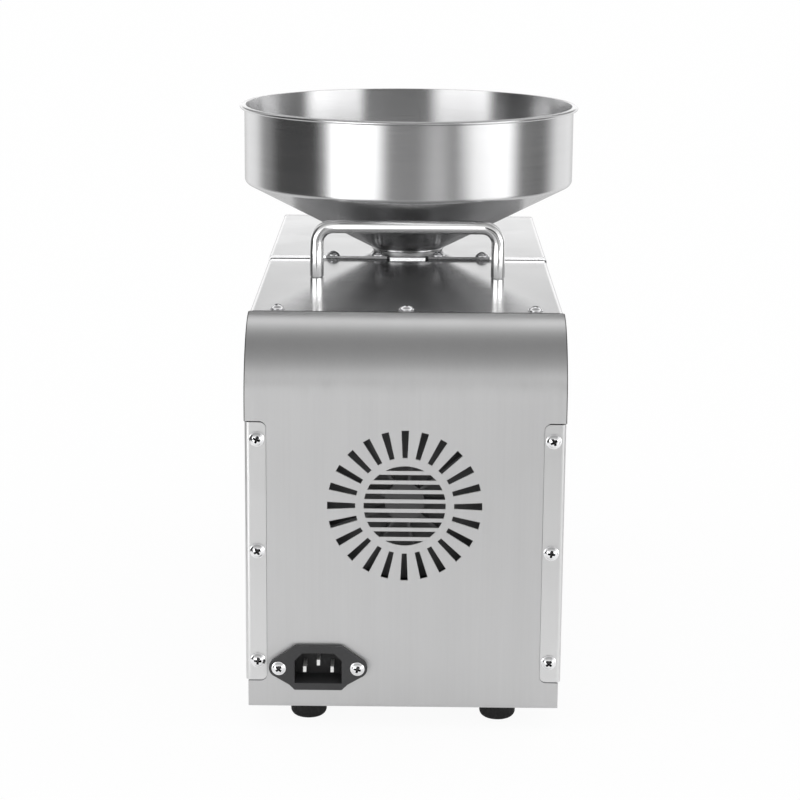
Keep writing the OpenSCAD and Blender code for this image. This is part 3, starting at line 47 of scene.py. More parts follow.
scene = bpy.context.scene
MM = 0.001


# Camera: the photograph's viewpoint, fitted to the casing's edges and the hopper's ellipses

CAMERA_PLACE = Vector((2.55, -1317.05, 430.08)) * MM
CAMERA_PITCH = math.radians(13.089)
CAMERA_YAW = math.radians(-0.275)
CAMERA_ROLL = math.radians(0.4625)
CAMERA_LENS = 103.02
SENSOR = 36.0
CLIP_NEAR = 0.05
CLIP_FAR = 200


def make_camera():
    level_right = Vector((math.cos(CAMERA_YAW), -math.sin(CAMERA_YAW), 0))
    ahead = Vector((math.sin(CAMERA_YAW), math.cos(CAMERA_YAW), 0))
    view = ahead * math.cos(CAMERA_PITCH) - Vector((0, 0, math.sin(CAMERA_PITCH)))
    level_up = ahead * math.sin(CAMERA_PITCH) + Vector((0, 0, math.cos(CAMERA_PITCH)))
    right = level_right * math.cos(CAMERA_ROLL) + level_up * math.sin(CAMERA_ROLL)
    up = level_up * math.cos(CAMERA_ROLL) - level_right * math.sin(CAMERA_ROLL)
    data = bpy.data.cameras.new("photo_camera")
    data.sensor_width = SENSOR
    data.lens = CAMERA_LENS
    data.clip_start = CLIP_NEAR
    data.clip_end = CLIP_FAR
    data.dof.use_dof = False
    camera = bpy.data.objects.new("photo_camera", data)
    turn = Matrix((right, up, -view)).transposed().to_4x4()
    camera.matrix_world = Matrix.Translation(CAMERA_PLACE) @ turn
    scene.collection.objects.link(camera)
    scene.camera = camera


make_camera()


# Node helpers

# numbers of a Mix node's two colour inputs and of its colour output
MIX_FIRST, MIX_SECOND, MIX_COLOUR = 6, 7, 2


def feed(tree, socket, value):
    """Links an input to another node's output, or sets its value."""
    if isinstance(value, bpy.types.NodeSocket):
        tree.links.new(value, socket)
    else:
        socket.default_value = value


def add(tree, kind, **sockets):
    """A node with its inputs set or linked by name, or by number as i0, i1 and so on."""
    node = tree.nodes.new(kind)
    for key, value in sockets.items():
        numbered = key[0] == "i" and key[1:].isdigit()
        feed(tree, node.inputs[int(key[1:]) if numbered else key.replace("_", " ")], value)
    return node


def operate(tree, kind, operation, values):
    node = tree.nodes.new(kind)
    node.operation = operation
    for socket, value in zip(node.inputs, values):
        feed(tree, socket, value)
    return node


def math_node(tree, operation, *values):
    return operate(tree, "ShaderNodeMath", operation, values).outputs[0]


def vector_node(tree, operation, *values):
    return operate(tree, "ShaderNodeVectorMath", operation, values)


def times(tree, a, b):
    return math_node(tree, "MULTIPLY", a, b)


def axes(tree, place):
    """The three parts of a vector."""
    return add(tree, "ShaderNodeSeparateXYZ", i0=place).outputs[:]


def spread(tree, value, low, high, from_low=0.0, from_high=1.0):
    """A value mapped to a range and kept inside it."""
    return add(tree, "ShaderNodeMapRange", i0=value, i1=from_low, i2=from_high, i3=low, i4=high).outputs[0]


def rising(tree, value, start, end):
    """A mask that goes from zero to one between two values."""
    return spread(tree, value, 0.0, 1.0, start, end)


def falling(tree, value, start, end):
    """A mask that goes from one to zero between two values."""
    return spread(tree, value, 1.0, 0.0, start, end)


def ramp(tree, factor, stops):
    """An eased ramp of greys from a list of (place, grey)."""
    node = tree.nodes.new("ShaderNodeValToRGB")
    node.color_ramp.interpolation = "EASE"
    elements = node.color_ramp.elements
    while len(elements) > 1:
        elements.remove(elements[-1])
    for k, (place, grey) in enumerate(stops):
        element = elements[0] if k == 0 else elements.new(place)
        element.position = place
        element.color = (grey, grey, grey, 1)
    tree.links.new(factor, node.inputs[0])
    return node.outputs[0]


def blend_colour(tree, factor, first, second, way="MIX"):
    """Two colours mixed, each of them an output or three values."""
    node = tree.nodes.new("ShaderNodeMix")
    node.data_type = "RGBA"
    node.blend_type = way
    feed(tree, node.inputs[0], factor)
    for number, value in ((MIX_FIRST, first), (MIX_SECOND, second)):
        feed(tree, node.inputs[number], value if isinstance(value, bpy.types.NodeSocket) else (*value, 1))
    return node.outputs[MIX_COLOUR]


def declare(tree, inputs, outputs):
    """Gives a tree its named inputs and outputs, and returns its two end nodes."""
    for label, kind in outputs:
        tree.interface.new_socket(label, in_out="OUTPUT", socket_type="NodeSocket" + kind)
    for label, kind, value in inputs:
        socket = tree.interface.new_socket(label, in_out="INPUT", socket_type="NodeSocket" + kind)
        if value is not None:
            socket.default_value = value
    return tree.nodes.new("NodeGroupInput"), tree.nodes.new("NodeGroupOutput")


# Shared effects

def effect_group(name, inputs, outputs):
    group = bpy.data.node_groups.new(name, "ShaderNodeTree")
    return group, *declare(group, [("Coordinate", "Vector", None)] + inputs, outputs)


def make_brushed_lines():
    """Fine parallel scratches: the stretch is small along the lines and large across them."""
    group, entry, leave = effect_group(
        "brushed_lines", [("Stretch", "Vector", (20, 900, 900)), ("Detail", "Float", 4.0)],
        [("Streak", "Float"), ("Broad", "Float")])
    scaled = vector_node(group, "MULTIPLY", entry.outputs["Coordinate"], entry.outputs["Stretch"]).outputs[0]
    fine = add(group, "ShaderNodeTexNoise", Vector=scaled, Scale=1.0, Roughness=0.65,
               Detail=entry.outputs["Detail"])
    broad = add(group, "ShaderNodeTexNoise", Vector=scaled, Scale=0.12, Roughness=0.5, Detail=2.0)
    group.links.new(fine.outputs[0], leave.inputs["Streak"])
    group.links.new(broad.outputs[0], leave.inputs["Broad"])
    return group


def make_handling_marks():
    """Soft smears and wiped patches, as left by hands and cloths."""
    group, entry, leave = effect_group("handling_marks", [("Patches", "Float", 18.0)], [("Smear", "Float")])
    wide = add(group, "ShaderNodeTexNoise", Vector=entry.outputs["Coordinate"], Detail=5.0, Roughness=0.55,
               Distortion=0.8, Scale=entry.outputs["Patches"])
    soft = rising(group, wide.outputs[0], 0.35, 0.7)
    group.links.new(soft, leave.inputs["Smear"])
    return group


def make_surface_grain():
    """Pebbled grain of moulded, cast and blasted surfaces."""
    group, entry, leave = effect_group(
        "surface_grain", [("Fineness", "Float", 1500.0)], [("Grain", "Float"), ("Mottle", "Float")])
    coordinate, fineness = entry.outputs["Coordinate"], entry.outputs["Fineness"]
    fine = add(group, "ShaderNodeTexNoise", Vector=coordinate, Detail=3.0, Roughness=0.6, Scale=fineness)
    cells = add(group, "ShaderNodeTexVoronoi", Vector=coordinate, Scale=fineness)
    mottle = add(group, "ShaderNodeTexNoise", Vector=coordinate, Detail=4.0, Scale=45.0)
    group.links.new(times(group, fine.outputs[0], cells.outputs[0]), leave.inputs["Grain"])
    group.links.new(mottle.outputs[0], leave.inputs["Mottle"])
    return group


BRUSHED = make_brushed_lines()
MARKS = make_handling_marks()
GRAIN = make_surface_grain()


def effect(tree, group, coordinate, **values):
    node = tree.nodes.new("ShaderNodeGroup")
    node.node_tree = group
    tree.links.new(coordinate, node.inputs["Coordinate"])
    for key, value in values.items():
        node.inputs[key].default_value = value
    return node


# Parts of the finishes

# where most of the values of a noise and of the pebbled grain lie
NOISE = (0.3, 0.7)
PEBBLES = (0.0, 0.5)
BUMP_DEPTH = 0.2 * MM


def new_finish(name):
    finish = bpy.data.materials.new(name)
    finish.use_nodes = True
    tree = finish.node_tree
    tree.nodes.clear()
    leave = tree.nodes.new("ShaderNodeOutputMaterial")
    shader = tree.nodes.new("ShaderNodeBsdfPrincipled")
    tree.links.new(shader.outputs[0], leave.inputs[0])
    place = tree.nodes.new("ShaderNodeTexCoord").outputs["Object"]
    return finish, tree, shader, place


def emboss(tree, shader, height, strength, depth=BUMP_DEPTH):
    bump = add(tree, "ShaderNodeBump", Height=height, Strength=strength, Distance=depth)
    tree.links.new(bump.outputs[0], shader.inputs["Normal"])


def around_axis(tree, place, centre):
    """Coordinates (turn, radius, height) round a vertical axis."""
    x, y, z = axes(tree, place)
    dx = math_node(tree, "SUBTRACT", x, centre[0])
    dy = math_node(tree, "SUBTRACT", y, centre[1])
    turn = math_node(tree, "ARCTAN2", dy, dx)
    radius = math_node(tree, "SQRT", math_node(tree, "ADD", times(tree, dx, dx), times(tree, dy, dy)))
    return add(tree, "ShaderNodeCombineXYZ", X=turn, Y=radius, Z=z).outputs[0]


def tip(tree, shader, mask, way):
    """Tips the shader's normals along a vector where the mask is one."""
    tilt = vector_node(tree, "SCALE", way)
    tree.links.new(mask, tilt.inputs["Scale"])
    normal = shader.inputs["Normal"].links[0].from_socket
    tipped = vector_node(tree, "ADD", normal, tilt.outputs[0])
    even = vector_node(tree, "NORMALIZE", tipped.outputs[0])
    tree.links.new(even.outputs[0], shader.inputs["Normal"])


# Dished wall of the hopper, and painted shade on its cone

WALL_BLUR = 0.2 * MM
LEAN_RISE = 4.0 * MM
SHADE_LOW = 0.5 * MM
SHADE_HIGH = (-1.0 * MM, 2.0 * MM)


def lean_back(tree, shader, where, radius, floor_z, lean):
    """Tips the normals of a wall's inner face upwards, as in a bowl that opens slightly."""
    _, r, z = axes(tree, where)
    inner = falling(tree, r, radius - WALL_BLUR, radius + WALL_BLUR)
    wall = rising(tree, z, floor_z, floor_z + LEAN_RISE)
    tip(tree, shader, times(tree, inner, wall), (0, 0, lean))


# band between two heights that gets painted shade
def between_heights(tree, place, low, high):
    z = axes(tree, place)[2]
    return times(tree, rising(tree, z, low, low + SHADE_LOW),
                 falling(tree, z, high + SHADE_HIGH[0], high + SHADE_HIGH[1]))


# Painted shade on the rear panel's cut edges, for the shadow gap and dark reflection there: the distances over which
# it shows, from the sheet's sides, bend and rear end

# tone of the painted shade on cut edges and in the gaps beside the seam's tab
PAINTED_SHADE_TONE = (0.10, 0.10, 0.10)
EDGE_SIDE = (0.6 * MM, 0.3 * MM)
EDGE_LOW = 0.4 * MM
EDGE_END = (2.2 * MM, 1.2 * MM)


def painted_edge_shade(tree, place, half, low, back):
    """Where the sides of a sheet above a height, and its rear end, get a painted dark line for the shadow and dark
    reflection at their cut edge.
    """
    x, y, z = axes(tree, place)
    side = rising(tree, math_node(tree, "ABSOLUTE", x), half - EDGE_SIDE[0], half - EDGE_SIDE[1])
    upper = rising(tree, z, low, low + EDGE_LOW)
    end = rising(tree, y, back - EDGE_END[0], back - EDGE_END[1])
    return math_node(tree, "MAXIMUM", times(tree, side, upper), end)


# Folded lip between the two covers: distances from the fold's middle, and the height of its tab's top

FOLD_HALF = (1.8 * MM, 2.2 * MM)
TAB_HALF = (10.1 * MM, 10.3 * MM)
TAB_TOP = (210.7 * MM, 211.0 * MM)
# where the painted shadow beside the ends of the tab begins and ends
TAB_END_IN = (10.1 * MM, 10.4 * MM)
TAB_END_OUT = (11.8 * MM, 12.2 * MM)
FOLD_WING = (46.0 * MM, 50.0 * MM)
FOLD_TIP = (0, 0, 0.30)
LIT_TIP = (-0.45, 0, -0.30)


def folded_lip(tree, place, seam_y):
    """Masks of the fold, of its parts that catch the light, and of the gaps beside its middle tab, which get a
    painted shadow.
    """
    x, y, z = axes(tree, place)
    fold = falling(tree, math_node(tree, "ABSOLUTE", math_node(tree, "SUBTRACT", y, seam_y)), *FOLD_HALF)
    aside = math_node(tree, "ABSOLUTE", x)
    tab = times(tree, falling(tree, aside, *TAB_HALF), falling(tree, z, *TAB_TOP))
    lit = times(tree, fold, math_node(tree, "MAXIMUM", tab, rising(tree, aside, *FOLD_WING)))
    ends = times(tree, rising(tree, aside, *TAB_END_IN), falling(tree, aside, *TAB_END_OUT))
    return fold, lit, times(tree, fold, ends)


# Facets of the handle's rod: distances below the bar's middle and inside the legs where they begin and end

ROD_D = 7.5 * MM
BAR_LOW = (9.0 * MM, 3.0 * MM)
BAR_END = (13.0 * MM, 4.0 * MM)
BAR_TIP = (-0.47, 0, 0)
LEG_TOP = (14.0 * MM, 8.0 * MM)
LEG_TIP = (0, 0, 0.18)
MIDDLE_BLUR = 1.0 * MM
RIDGE_BLUR = 0.4 * MM
RIDGE_STEP = (-0.18, 0.30)
RIDGE_SLOPE = 0.5 / (ROD_D / 2)


def facet_rod(tree, shader, place, leg_x, bar_z):
    """Tips a rod's normals: its bar faces aside, and its legs face up with a ridge down their middle."""
    x, _, z = axes(tree, place)
    aside = math_node(tree, "ABSOLUTE", x)
    upper = rising(tree, z, bar_z - BAR_LOW[0], bar_z - BAR_LOW[1])
    between = falling(tree, aside, leg_x - BAR_END[0], leg_x - BAR_END[1])
    tip(tree, shader, times(tree, upper, between), BAR_TIP)
    side = spread(tree, x, -1.0, 1.0, -MIDDLE_BLUR, MIDDLE_BLUR)
    across = times(tree, math_node(tree, "SUBTRACT", aside, leg_x), side)
    ridge = math_node(tree, "SUBTRACT", spread(tree, across, *RIDGE_STEP, -RIDGE_BLUR, RIDGE_BLUR),
                      times(tree, across, RIDGE_SLOPE))
    leg = falling(tree, z, bar_z - LEG_TOP[0], bar_z - LEG_TOP[1])
    tip(tree, shader, times(tree, ridge, leg), (1, 0, 0))
    tip(tree, shader, leg, LEG_TIP)


# Finishes

TONE_SWING = 0.03
ROUGH_SWING = 0.1
STREAK_SHARE, BROAD_SHARE = 0.6, 0.4
SMEAR_PATCHES = 18.0
FLANGE_BLUR = 2.0 * MM
QUARTER_TURN = 0.25
# tone of the painted shade inside a screw's cross
RECESS_SHADE_TONE = (0.06, 0.06, 0.062)


def steel(name, tone, rough, stretch, streak_depth, marks=0.05, brushed=0.0, grain_axis=None, axis=None, haze=0.0,
          dished=None, shaded=None, satin_ends=None, outline=None, seam_y=None, recess=False, rod=None):
    """Stainless steel with brushed lines and faint handling marks.

    brushed and grain_axis: how far the lines draw out the gloss, and the axis round which a bent sheet's lines run
    axis: the middle of a spun piece, round which its lines run
    haze: the dull share of the surface
    dished: the radius inside which a wall leans back, the height from which it does, and the lean
    shaded: two heights and the tone's share between them, where a painted shade darkens the tone
    satin_ends: the distance of the end flanges from the middle, their roughness and their tone
    outline: the half width, low end and rear end of a sheet whose cut edges get a painted dark line of shade
    seam_y: the place of a folded lip that catches the light, with a painted shadow in the gaps beside its tab
    recess: paints shade on the faces of a screw's cross
    rod: the place of a bent rod's legs and the height of its bar
    """
    finish, tree, shader, place = new_finish(name)
    where = around_axis(tree, place, axis) if axis else place
    lines = effect(tree, BRUSHED, where, Stretch=stretch)
    streak = lines.outputs["Streak"]
    smear = effect(tree, MARKS, place, Patches=SMEAR_PATCHES)
    mixed = math_node(tree, "ADD", times(tree, streak, STREAK_SHARE),
                      times(tree, lines.outputs["Broad"], BROAD_SHARE))
    colour = blend_colour(tree, rising(tree, mixed, *NOISE), tuple(c * (1 - TONE_SWING) for c in tone),
                          tuple(min(1.0, c * (1 + TONE_SWING)) for c in tone))
    worn = math_node(tree, "ADD", spread(tree, streak, rough * (1 - ROUGH_SWING), rough * (1 + ROUGH_SWING), *NOISE),
                     times(tree, smear.outputs[0], marks))
    # painted shade: the tone darkens between two heights, as on the hopper's cone
    if shaded:
        low, high, share = shaded
        colour = blend_colour(tree, between_heights(tree, place, low, high), colour, tuple(c * share for c in tone))
    if satin_ends:
        flange_y, flange_rough, flange_tone = satin_ends
        along = math_node(tree, "ABSOLUTE", axes(tree, place)[1])
        end = rising(tree, along, flange_y - FLANGE_BLUR, flange_y)
        colour = blend_colour(tree, end, colour, (flange_tone,) * 3)
        worn = math_node(tree, "ADD", worn, times(tree, end, flange_rough - rough))
    if outline:
        # painted shade: a dark line along the sheet's cut edges
        colour = blend_colour(tree, painted_edge_shade(tree, place, *outline), colour, PAINTED_SHADE_TONE)
    if seam_y:
        fold, lit, gaps = folded_lip(tree, place, seam_y)
        # painted shadow in the gaps beside the lip's tab
        colour = blend_colour(tree, gaps, colour, PAINTED_SHADE_TONE)
    # painted shade inside the screw's cross recess
    if recess:
        mark = tree.nodes.new("ShaderNodeAttribute")
        mark.attribute_name = "recess"
        colour = blend_colour(tree, mark.outputs["Fac"], colour, RECESS_SHADE_TONE)
    tree.links.new(colour, shader.inputs["Base Color"])
    tree.links.new(worn, shader.inputs["Roughness"])
    emboss(tree, shader, streak, streak_depth)
    if dished:
        lean_back(tree, shader, where, *dished)
    if seam_y:
        tip(tree, shader, fold, FOLD_TIP)
        tip(tree, shader, lit, LIT_TIP)
    if rod:
        facet_rod(tree, shader, place, *rod)
    shader.inputs["Metallic"].default_value = 1.0 - haze
    shader.inputs["Anisotropic"].default_value = brushed
    shader.inputs["Anisotropic Rotation"].default_value = QUARTER_TURN if brushed else 0.0
    if grain_axis:
        grain = tree.nodes.new("ShaderNodeTangent")
        grain.direction_type = "RADIAL"
        grain.axis = grain_axis
        tree.links.new(grain.outputs[0], shader.inputs["Tangent"])
    return finish


CAST_ROUGH_SWING = 0.06
MOULD_ROUGH_SWING = 0.05
MOULD_PATCHES = 30.0
MOULD_MARKS = 0.08


def plain_metal(name, dark, light, rough, fineness, depth):
    """Cast, plated or machined metal with grain and a mottled tone."""
    finish, tree, shader, place = new_finish(name)
    grain = effect(tree, GRAIN, place, Fineness=fineness)
    mottle = grain.outputs["Mottle"]
    tree.links.new(blend_colour(tree, rising(tree, mottle, *NOISE), dark, light), shader.inputs["Base Color"])
    tree.links.new(spread(tree, mottle, rough - CAST_ROUGH_SWING, rough + CAST_ROUGH_SWING, *NOISE),
                   shader.inputs["Roughness"])
    emboss(tree, shader, grain.outputs["Grain"], depth)
    shader.inputs["Metallic"].default_value = 1.0
    return finish


def moulded(name, dark, light, rough, fineness, depth, specular=0.5):
    """Plastic, rubber or paint with its moulded grain."""
    finish, tree, shader, place = new_finish(name)
    grain = effect(tree, GRAIN, place, Fineness=fineness)
    smear = effect(tree, MARKS, place, Patches=MOULD_PATCHES)
    tone = rising(tree, grain.outputs["Mottle"], *NOISE)
    tree.links.new(blend_colour(tree, tone, dark, light), shader.inputs["Base Color"])
    pebbled = spread(tree, grain.outputs["Grain"], rough - MOULD_ROUGH_SWING, rough + MOULD_ROUGH_SWING, *PEBBLES)
    tree.links.new(math_node(tree, "ADD", pebbled, times(tree, smear.outputs[0], MOULD_MARKS)),
                   shader.inputs["Roughness"])
    emboss(tree, shader, grain.outputs["Grain"], depth)
    shader.inputs["Specular IOR Level"].default_value = specular
    return finish


def layered(name, dark, light, rough, stretch, detail, edges, strength, depth, metallic):
    """Layers lying side by side, such as a core's stacked sheets or a winding's turns of wire."""
    finish, tree, shader, place = new_finish(name)
    lines = effect(tree, BRUSHED, place, Stretch=stretch, Detail=detail)
    layer = rising(tree, lines.outputs["Streak"], *edges)
    tree.links.new(blend_colour(tree, layer, dark, light), shader.inputs["Base Color"])
    tree.links.new(spread(tree, lines.outputs["Broad"], *rough, *NOISE), shader.inputs["Roughness"])
    emboss(tree, shader, lines.outputs["Streak"], strength, depth)
    shader.inputs["Metallic"].default_value = metallic
    return finish


def circuit_green(name):
    """Solder resist over tracks."""
    finish, tree, shader, place = new_finish(name)
    cells = add(tree, "ShaderNodeTexVoronoi", Vector=place, Scale=260.0)
    cells.distance = "MANHATTAN"
    track = rising(tree, cells.outputs[0], 0.15, 0.5)
    tree.links.new(blend_colour(tree, track, (0.02, 0.13, 0.05), (0.035, 0.22, 0.09)), shader.inputs["Base Color"])
    tree.links.new(spread(tree, cells.outputs[0], 0.28, 0.4), shader.inputs["Roughness"])
    emboss(tree, shader, track, 0.25)
    return finish


def smoked_window(name):
    """Dark display cover with a soft gloss."""
    finish, tree, shader, place = new_finish(name)
    smear = effect(tree, MARKS, place, Patches=60.0)
    tree.links.new(blend_colour(tree, smear.outputs[0], (0.010, 0.012, 0.014), (0.018, 0.020, 0.023)),
                   shader.inputs["Base Color"])
    tree.links.new(spread(tree, smear.outputs[0], 0.05, 0.12), shader.inputs["Roughness"])
    shader.inputs["Coat Weight"].default_value = 0.6
    shader.inputs["Coat Roughness"].default_value = 0.05
    return finish


SATIN_LINES = (700, 700, 14)
POLISHED_LINES = (60, 160, 160)
POLISHED_TONE = (0.66, 0.66, 0.665)

finishes = {
    "satin_steel": steel("satin_steel_sheet", (0.62, 0.62, 0.622), 0.40, SATIN_LINES, 0.06, marks=0.04, brushed=0.8,
                         grain_axis="X"),
    "polished_steel": steel("polished_steel_sheet", POLISHED_TONE, 0.15, POLISHED_LINES, 0.02, marks=0.04),
    "zinc_steel": plain_metal("zinc_plate", (0.50, 0.51, 0.52), (0.62, 0.63, 0.64), 0.36, 900.0, 0.15),
    "machined_steel": steel("turned_steel", (0.56, 0.56, 0.57), 0.26, (600, 40, 600), 0.12, marks=0.06),
    "lamination": layered("stacked_core", (0.16, 0.15, 0.15), (0.36, 0.35, 0.34), (0.42, 0.6), (6, 2200, 6),
                          detail=1.0, edges=(0.35, 0.65), strength=0.6, depth=0.4 * MM, metallic=1.0),
    # enamelled winding wire, its tone darkened as painted shade for the inside of the casing
    "copper": layered("enamelled_copper_darkened_as_shade", (0.16, 0.045, 0.02), (0.36, 0.13, 0.055), (0.22, 0.4), (900, 120, 900),
                      detail=2.0, edges=NOISE, strength=0.8, depth=0.6 * MM, metallic=0.8),
    "bronze": plain_metal("sintered_bronze", (0.42, 0.26, 0.10), (0.56, 0.37, 0.16), 0.45, 1600.0, 0.3),
    "brass": plain_metal("brushed_brass", (0.60, 0.44, 0.17), (0.74, 0.57, 0.26), 0.33, 700.0, 0.15),
    # cast aluminium, its tone darkened as painted shade for the inside of the casing
    "aluminium": plain_metal("cast_aluminium_darkened_as_shade", (0.20, 0.20, 0.205), (0.27, 0.27, 0.275), 0.48, 1300.0, 0.5),
    "cast_iron": plain_metal("cast_iron", (0.10, 0.10, 0.10), (0.16, 0.16, 0.16), 0.6, 1300.0, 0.5),
    "painted_steel": moulded("painted_steel", (0.055, 0.058, 0.062), (0.075, 0.078, 0.082), 0.42, 900.0, 0.15),
    "black_plastic": moulded("black_plastic", (0.030, 0.030, 0.031), (0.042, 0.042, 0.044), 0.45, 1800.0, 0.25),
    "grey_plastic": moulded("grey_plastic", (0.38, 0.38, 0.39), (0.44, 0.44, 0.45), 0.40, 1800.0, 0.2),
    "rubber": moulded("foot_rubber", (0.008, 0.008, 0.008), (0.015, 0.015, 0.015), 0.62, 1200.0, 0.3,
                      specular=0.35),
    "silicone": moulded("seal_silicone", (0.62, 0.61, 0.58), (0.70, 0.69, 0.66), 0.5, 1500.0, 0.1),
    "board": circuit_green("circuit_board"),
    "window": smoked_window("display_cover"),
    "cable": moulded("cable_jacket", (0.03, 0.03, 0.032), (0.05, 0.05, 0.052), 0.5, 1600.0, 0.2),
}


# Places and sizes that the pieces' own finishes follow. The hopper's sizes are in millimetres.

hopper_low, hopper_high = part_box("hopper")
HOPPER_X = (hopper_low.x + hopper_high.x) / 2
HOPPER_Y = (hopper_low.y + hopper_high.y) / 2
BOWL_R = 95.2
RIM_LIP = 2.6
RIM_BEAD = 1.0
RIM_Z = 296.7
WALL_Z = 252.5
BOWL_FILLET = 3.0
HOPPER_T = 0.8
RING_R = 20.5
RING_Z = 215.7
RING_LOW = 213.5
RING_BEAD = 0.8
NECK_R = 17.0
NECK_L = 21.0
# heights from which the wall leans back and from which the cone gets its painted shade
LEAN_FROM = WALL_Z + 1.0
SHADE_FROM = RING_LOW + 1.0
BOWL_LEAN = 0.13
# share of the tone left where the cone gets its painted shade
CONE_SHADE = 0.82

rear_low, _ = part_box("rear_cover")
FLANGE_IN = 2.0 * MM
FLANGE_ROUGH = 0.40
FLANGE_TONE = 0.76
SEAM_FOLD_Y = -12.25 * MM
PANEL_HALF = 80.4 * MM
BEND_LOW = 161.2 * MM
PANEL_END_Y = -172.65 * MM

handle_low, handle_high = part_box("carry_handle")
handle_y = (handle_low.y + handle_high.y) / 2
leg_x = handle_high.x - ROD_D / 2
bar_z = handle_high.z - ROD_D / 2

# the hopper, with painted shade on its cone
HOPPER_STEEL = steel("spun_hopper_steel", POLISHED_TONE, 0.24, (2.0, 700, 1400), 0.05, marks=0.01, brushed=0.9,
                     axis=(HOPPER_X, HOPPER_Y),
                     dished=((BOWL_R - HOPPER_T / 2) * MM, LEAN_FROM * MM, BOWL_LEAN),
                     shaded=(SHADE_FROM * MM, WALL_Z * MM, CONE_SHADE))
# the covers, with a painted shadow in the gaps beside the seam's tab
COVER_STEEL = steel("polished_cover_steel", POLISHED_TONE, 0.13, POLISHED_LINES, 0.02, marks=0.04, brushed=0.3,
                    grain_axis="X", haze=0.07, seam_y=SEAM_FOLD_Y,
                    satin_ends=(-rear_low.y - FLANGE_IN, FLANGE_ROUGH, FLANGE_TONE))
# the rear panel, with painted shade along its cut edges
PANEL_STEEL = steel("satin_panel_steel", (0.635, 0.635, 0.637), 0.40, SATIN_LINES, 0.06, marks=0.04, brushed=0.8,
                    grain_axis="X", outline=(PANEL_HALF, BEND_LOW, PANEL_END_Y))
HANDLE_STEEL = steel("handle_rod_steel", (0.92, 0.92, 0.92), 0.16, (60, 300, 300), 0.03, marks=0.04,
                     rod=(leg_x, bar_z))
# chrome screws, with painted shade inside their cross
SCREW_STEEL = steel("screw_chrome", (0.92, 0.92, 0.93), 0.08, (500, 500, 500), 0.04, marks=0.06, recess=True)
PIN_PLATE = steel("nickel_pin_plate", (0.95, 0.95, 0.94), 0.25, (400, 60, 400), 0.04, marks=0.02, haze=0.6)
FAN_PLASTIC = moulded("fan_plastic", (0.11, 0.11, 0.112), (0.13, 0.13, 0.132), 0.55, 1500.0, 0.2)

for node in nodes.values():
    for holder in node.material_slots:
        slot_name = holder.material.name.split(".")[0]
        holder.material = finishes[slot_name]
for name, own in (("rear_cover", COVER_STEEL), ("front_cover", COVER_STEEL), ("rear_panel", PANEL_STEEL),
                  ("cooling_fan", FAN_PLASTIC), ("inlet_pins", PIN_PLATE)):
    for holder in nodes[name].material_slots:
        holder.material = own


# Geometry Nodes

CREASE_ANGLE = 0.6
MERGE_DISTANCE = 1e-6


def shape_tree(name, inputs):
    tree = bpy.data.node_groups.new(name, "GeometryNodeTree")
    ends = declare(tree, [("Geometry", "Geometry", None)] + inputs + [("Material", "Material", None)],
                   [("Geometry", "Geometry")])
    return tree, *ends


def finish_shape(tree, geometry, entry, leave):
    """Realized instances, smooth faces with sharp edges kept, and the piece's material."""
    realized = add(tree, "GeometryNodeRealizeInstances", Geometry=geometry)
    smooth = add(tree, "GeometryNodeSetShadeSmooth", Geometry=realized.outputs[0])
    angle = tree.nodes.new("GeometryNodeInputMeshEdgeAngle").outputs["Unsigned Angle"]
    sharp = operate(tree, "FunctionNodeCompare", "GREATER_THAN", (angle, CREASE_ANGLE))
    edges = tree.nodes.new("GeometryNodeSetShadeSmooth")
    edges.domain = "EDGE"
    tree.links.new(smooth.outputs[0], edges.inputs["Geometry"])
    tree.links.new(sharp.outputs[0], edges.inputs["Selection"])
    edges.inputs["Shade Smooth"].default_value = False
    material = add(tree, "GeometryNodeSetMaterial", Geometry=edges.outputs[0], Material=entry.outputs["Material"])
    tree.links.new(material.outputs[0], leave.inputs[0])


def make_spun_shell():
    """A closed section turned round the vertical axis, as a sheet is spun on a lathe."""
    tree, entry, leave = shape_tree("spun_shell", [
        ("Section Points", "Int", 8), ("Segments", "Int", 128), ("Axis", "Vector", (0, 0, 0))])
    points, segments = entry.outputs["Section Points"], entry.outputs["Segments"]
    grid = add(tree, "GeometryNodeMeshGrid", Size_X=1.0, Size_Y=1.0, Vertices_X=math_node(tree, "ADD", segments, 1),
               Vertices_Y=points)
    index = tree.nodes.new("GeometryNodeInputIndex").outputs[0]
    row = math_node(tree, "FLOORED_MODULO", index, points)
    column = math_node(tree, "FLOOR", math_node(tree, "DIVIDE", index, points))
    turn = times(tree, math_node(tree, "DIVIDE", column, segments), 2 * math.pi)
    sample = tree.nodes.new("GeometryNodeSampleIndex")
    sample.data_type = "FLOAT_VECTOR"
    sample.domain = "POINT"
    tree.links.new(entry.outputs["Geometry"], sample.inputs["Geometry"])
    tree.links.new(tree.nodes.new("GeometryNodeInputPosition").outputs[0], sample.inputs["Value"])
    tree.links.new(row, sample.inputs["Index"])
    radius, _, height = axes(tree, sample.outputs[0])
    point = add(tree, "ShaderNodeCombineXYZ", X=times(tree, radius, math_node(tree, "COSINE", turn)),
                Y=times(tree, radius, math_node(tree, "SINE", turn)), Z=height)
    moved = vector_node(tree, "ADD", point.outputs[0], entry.outputs["Axis"])
    placed = add(tree, "GeometryNodeSetPosition", Geometry=grid.outputs[0], Position=moved.outputs[0])
    closed = add(tree, "GeometryNodeMergeByDistance", Geometry=placed.outputs[0], Distance=MERGE_DISTANCE)
    finish_shape(tree, closed.outputs[0], entry, leave)
    return tree


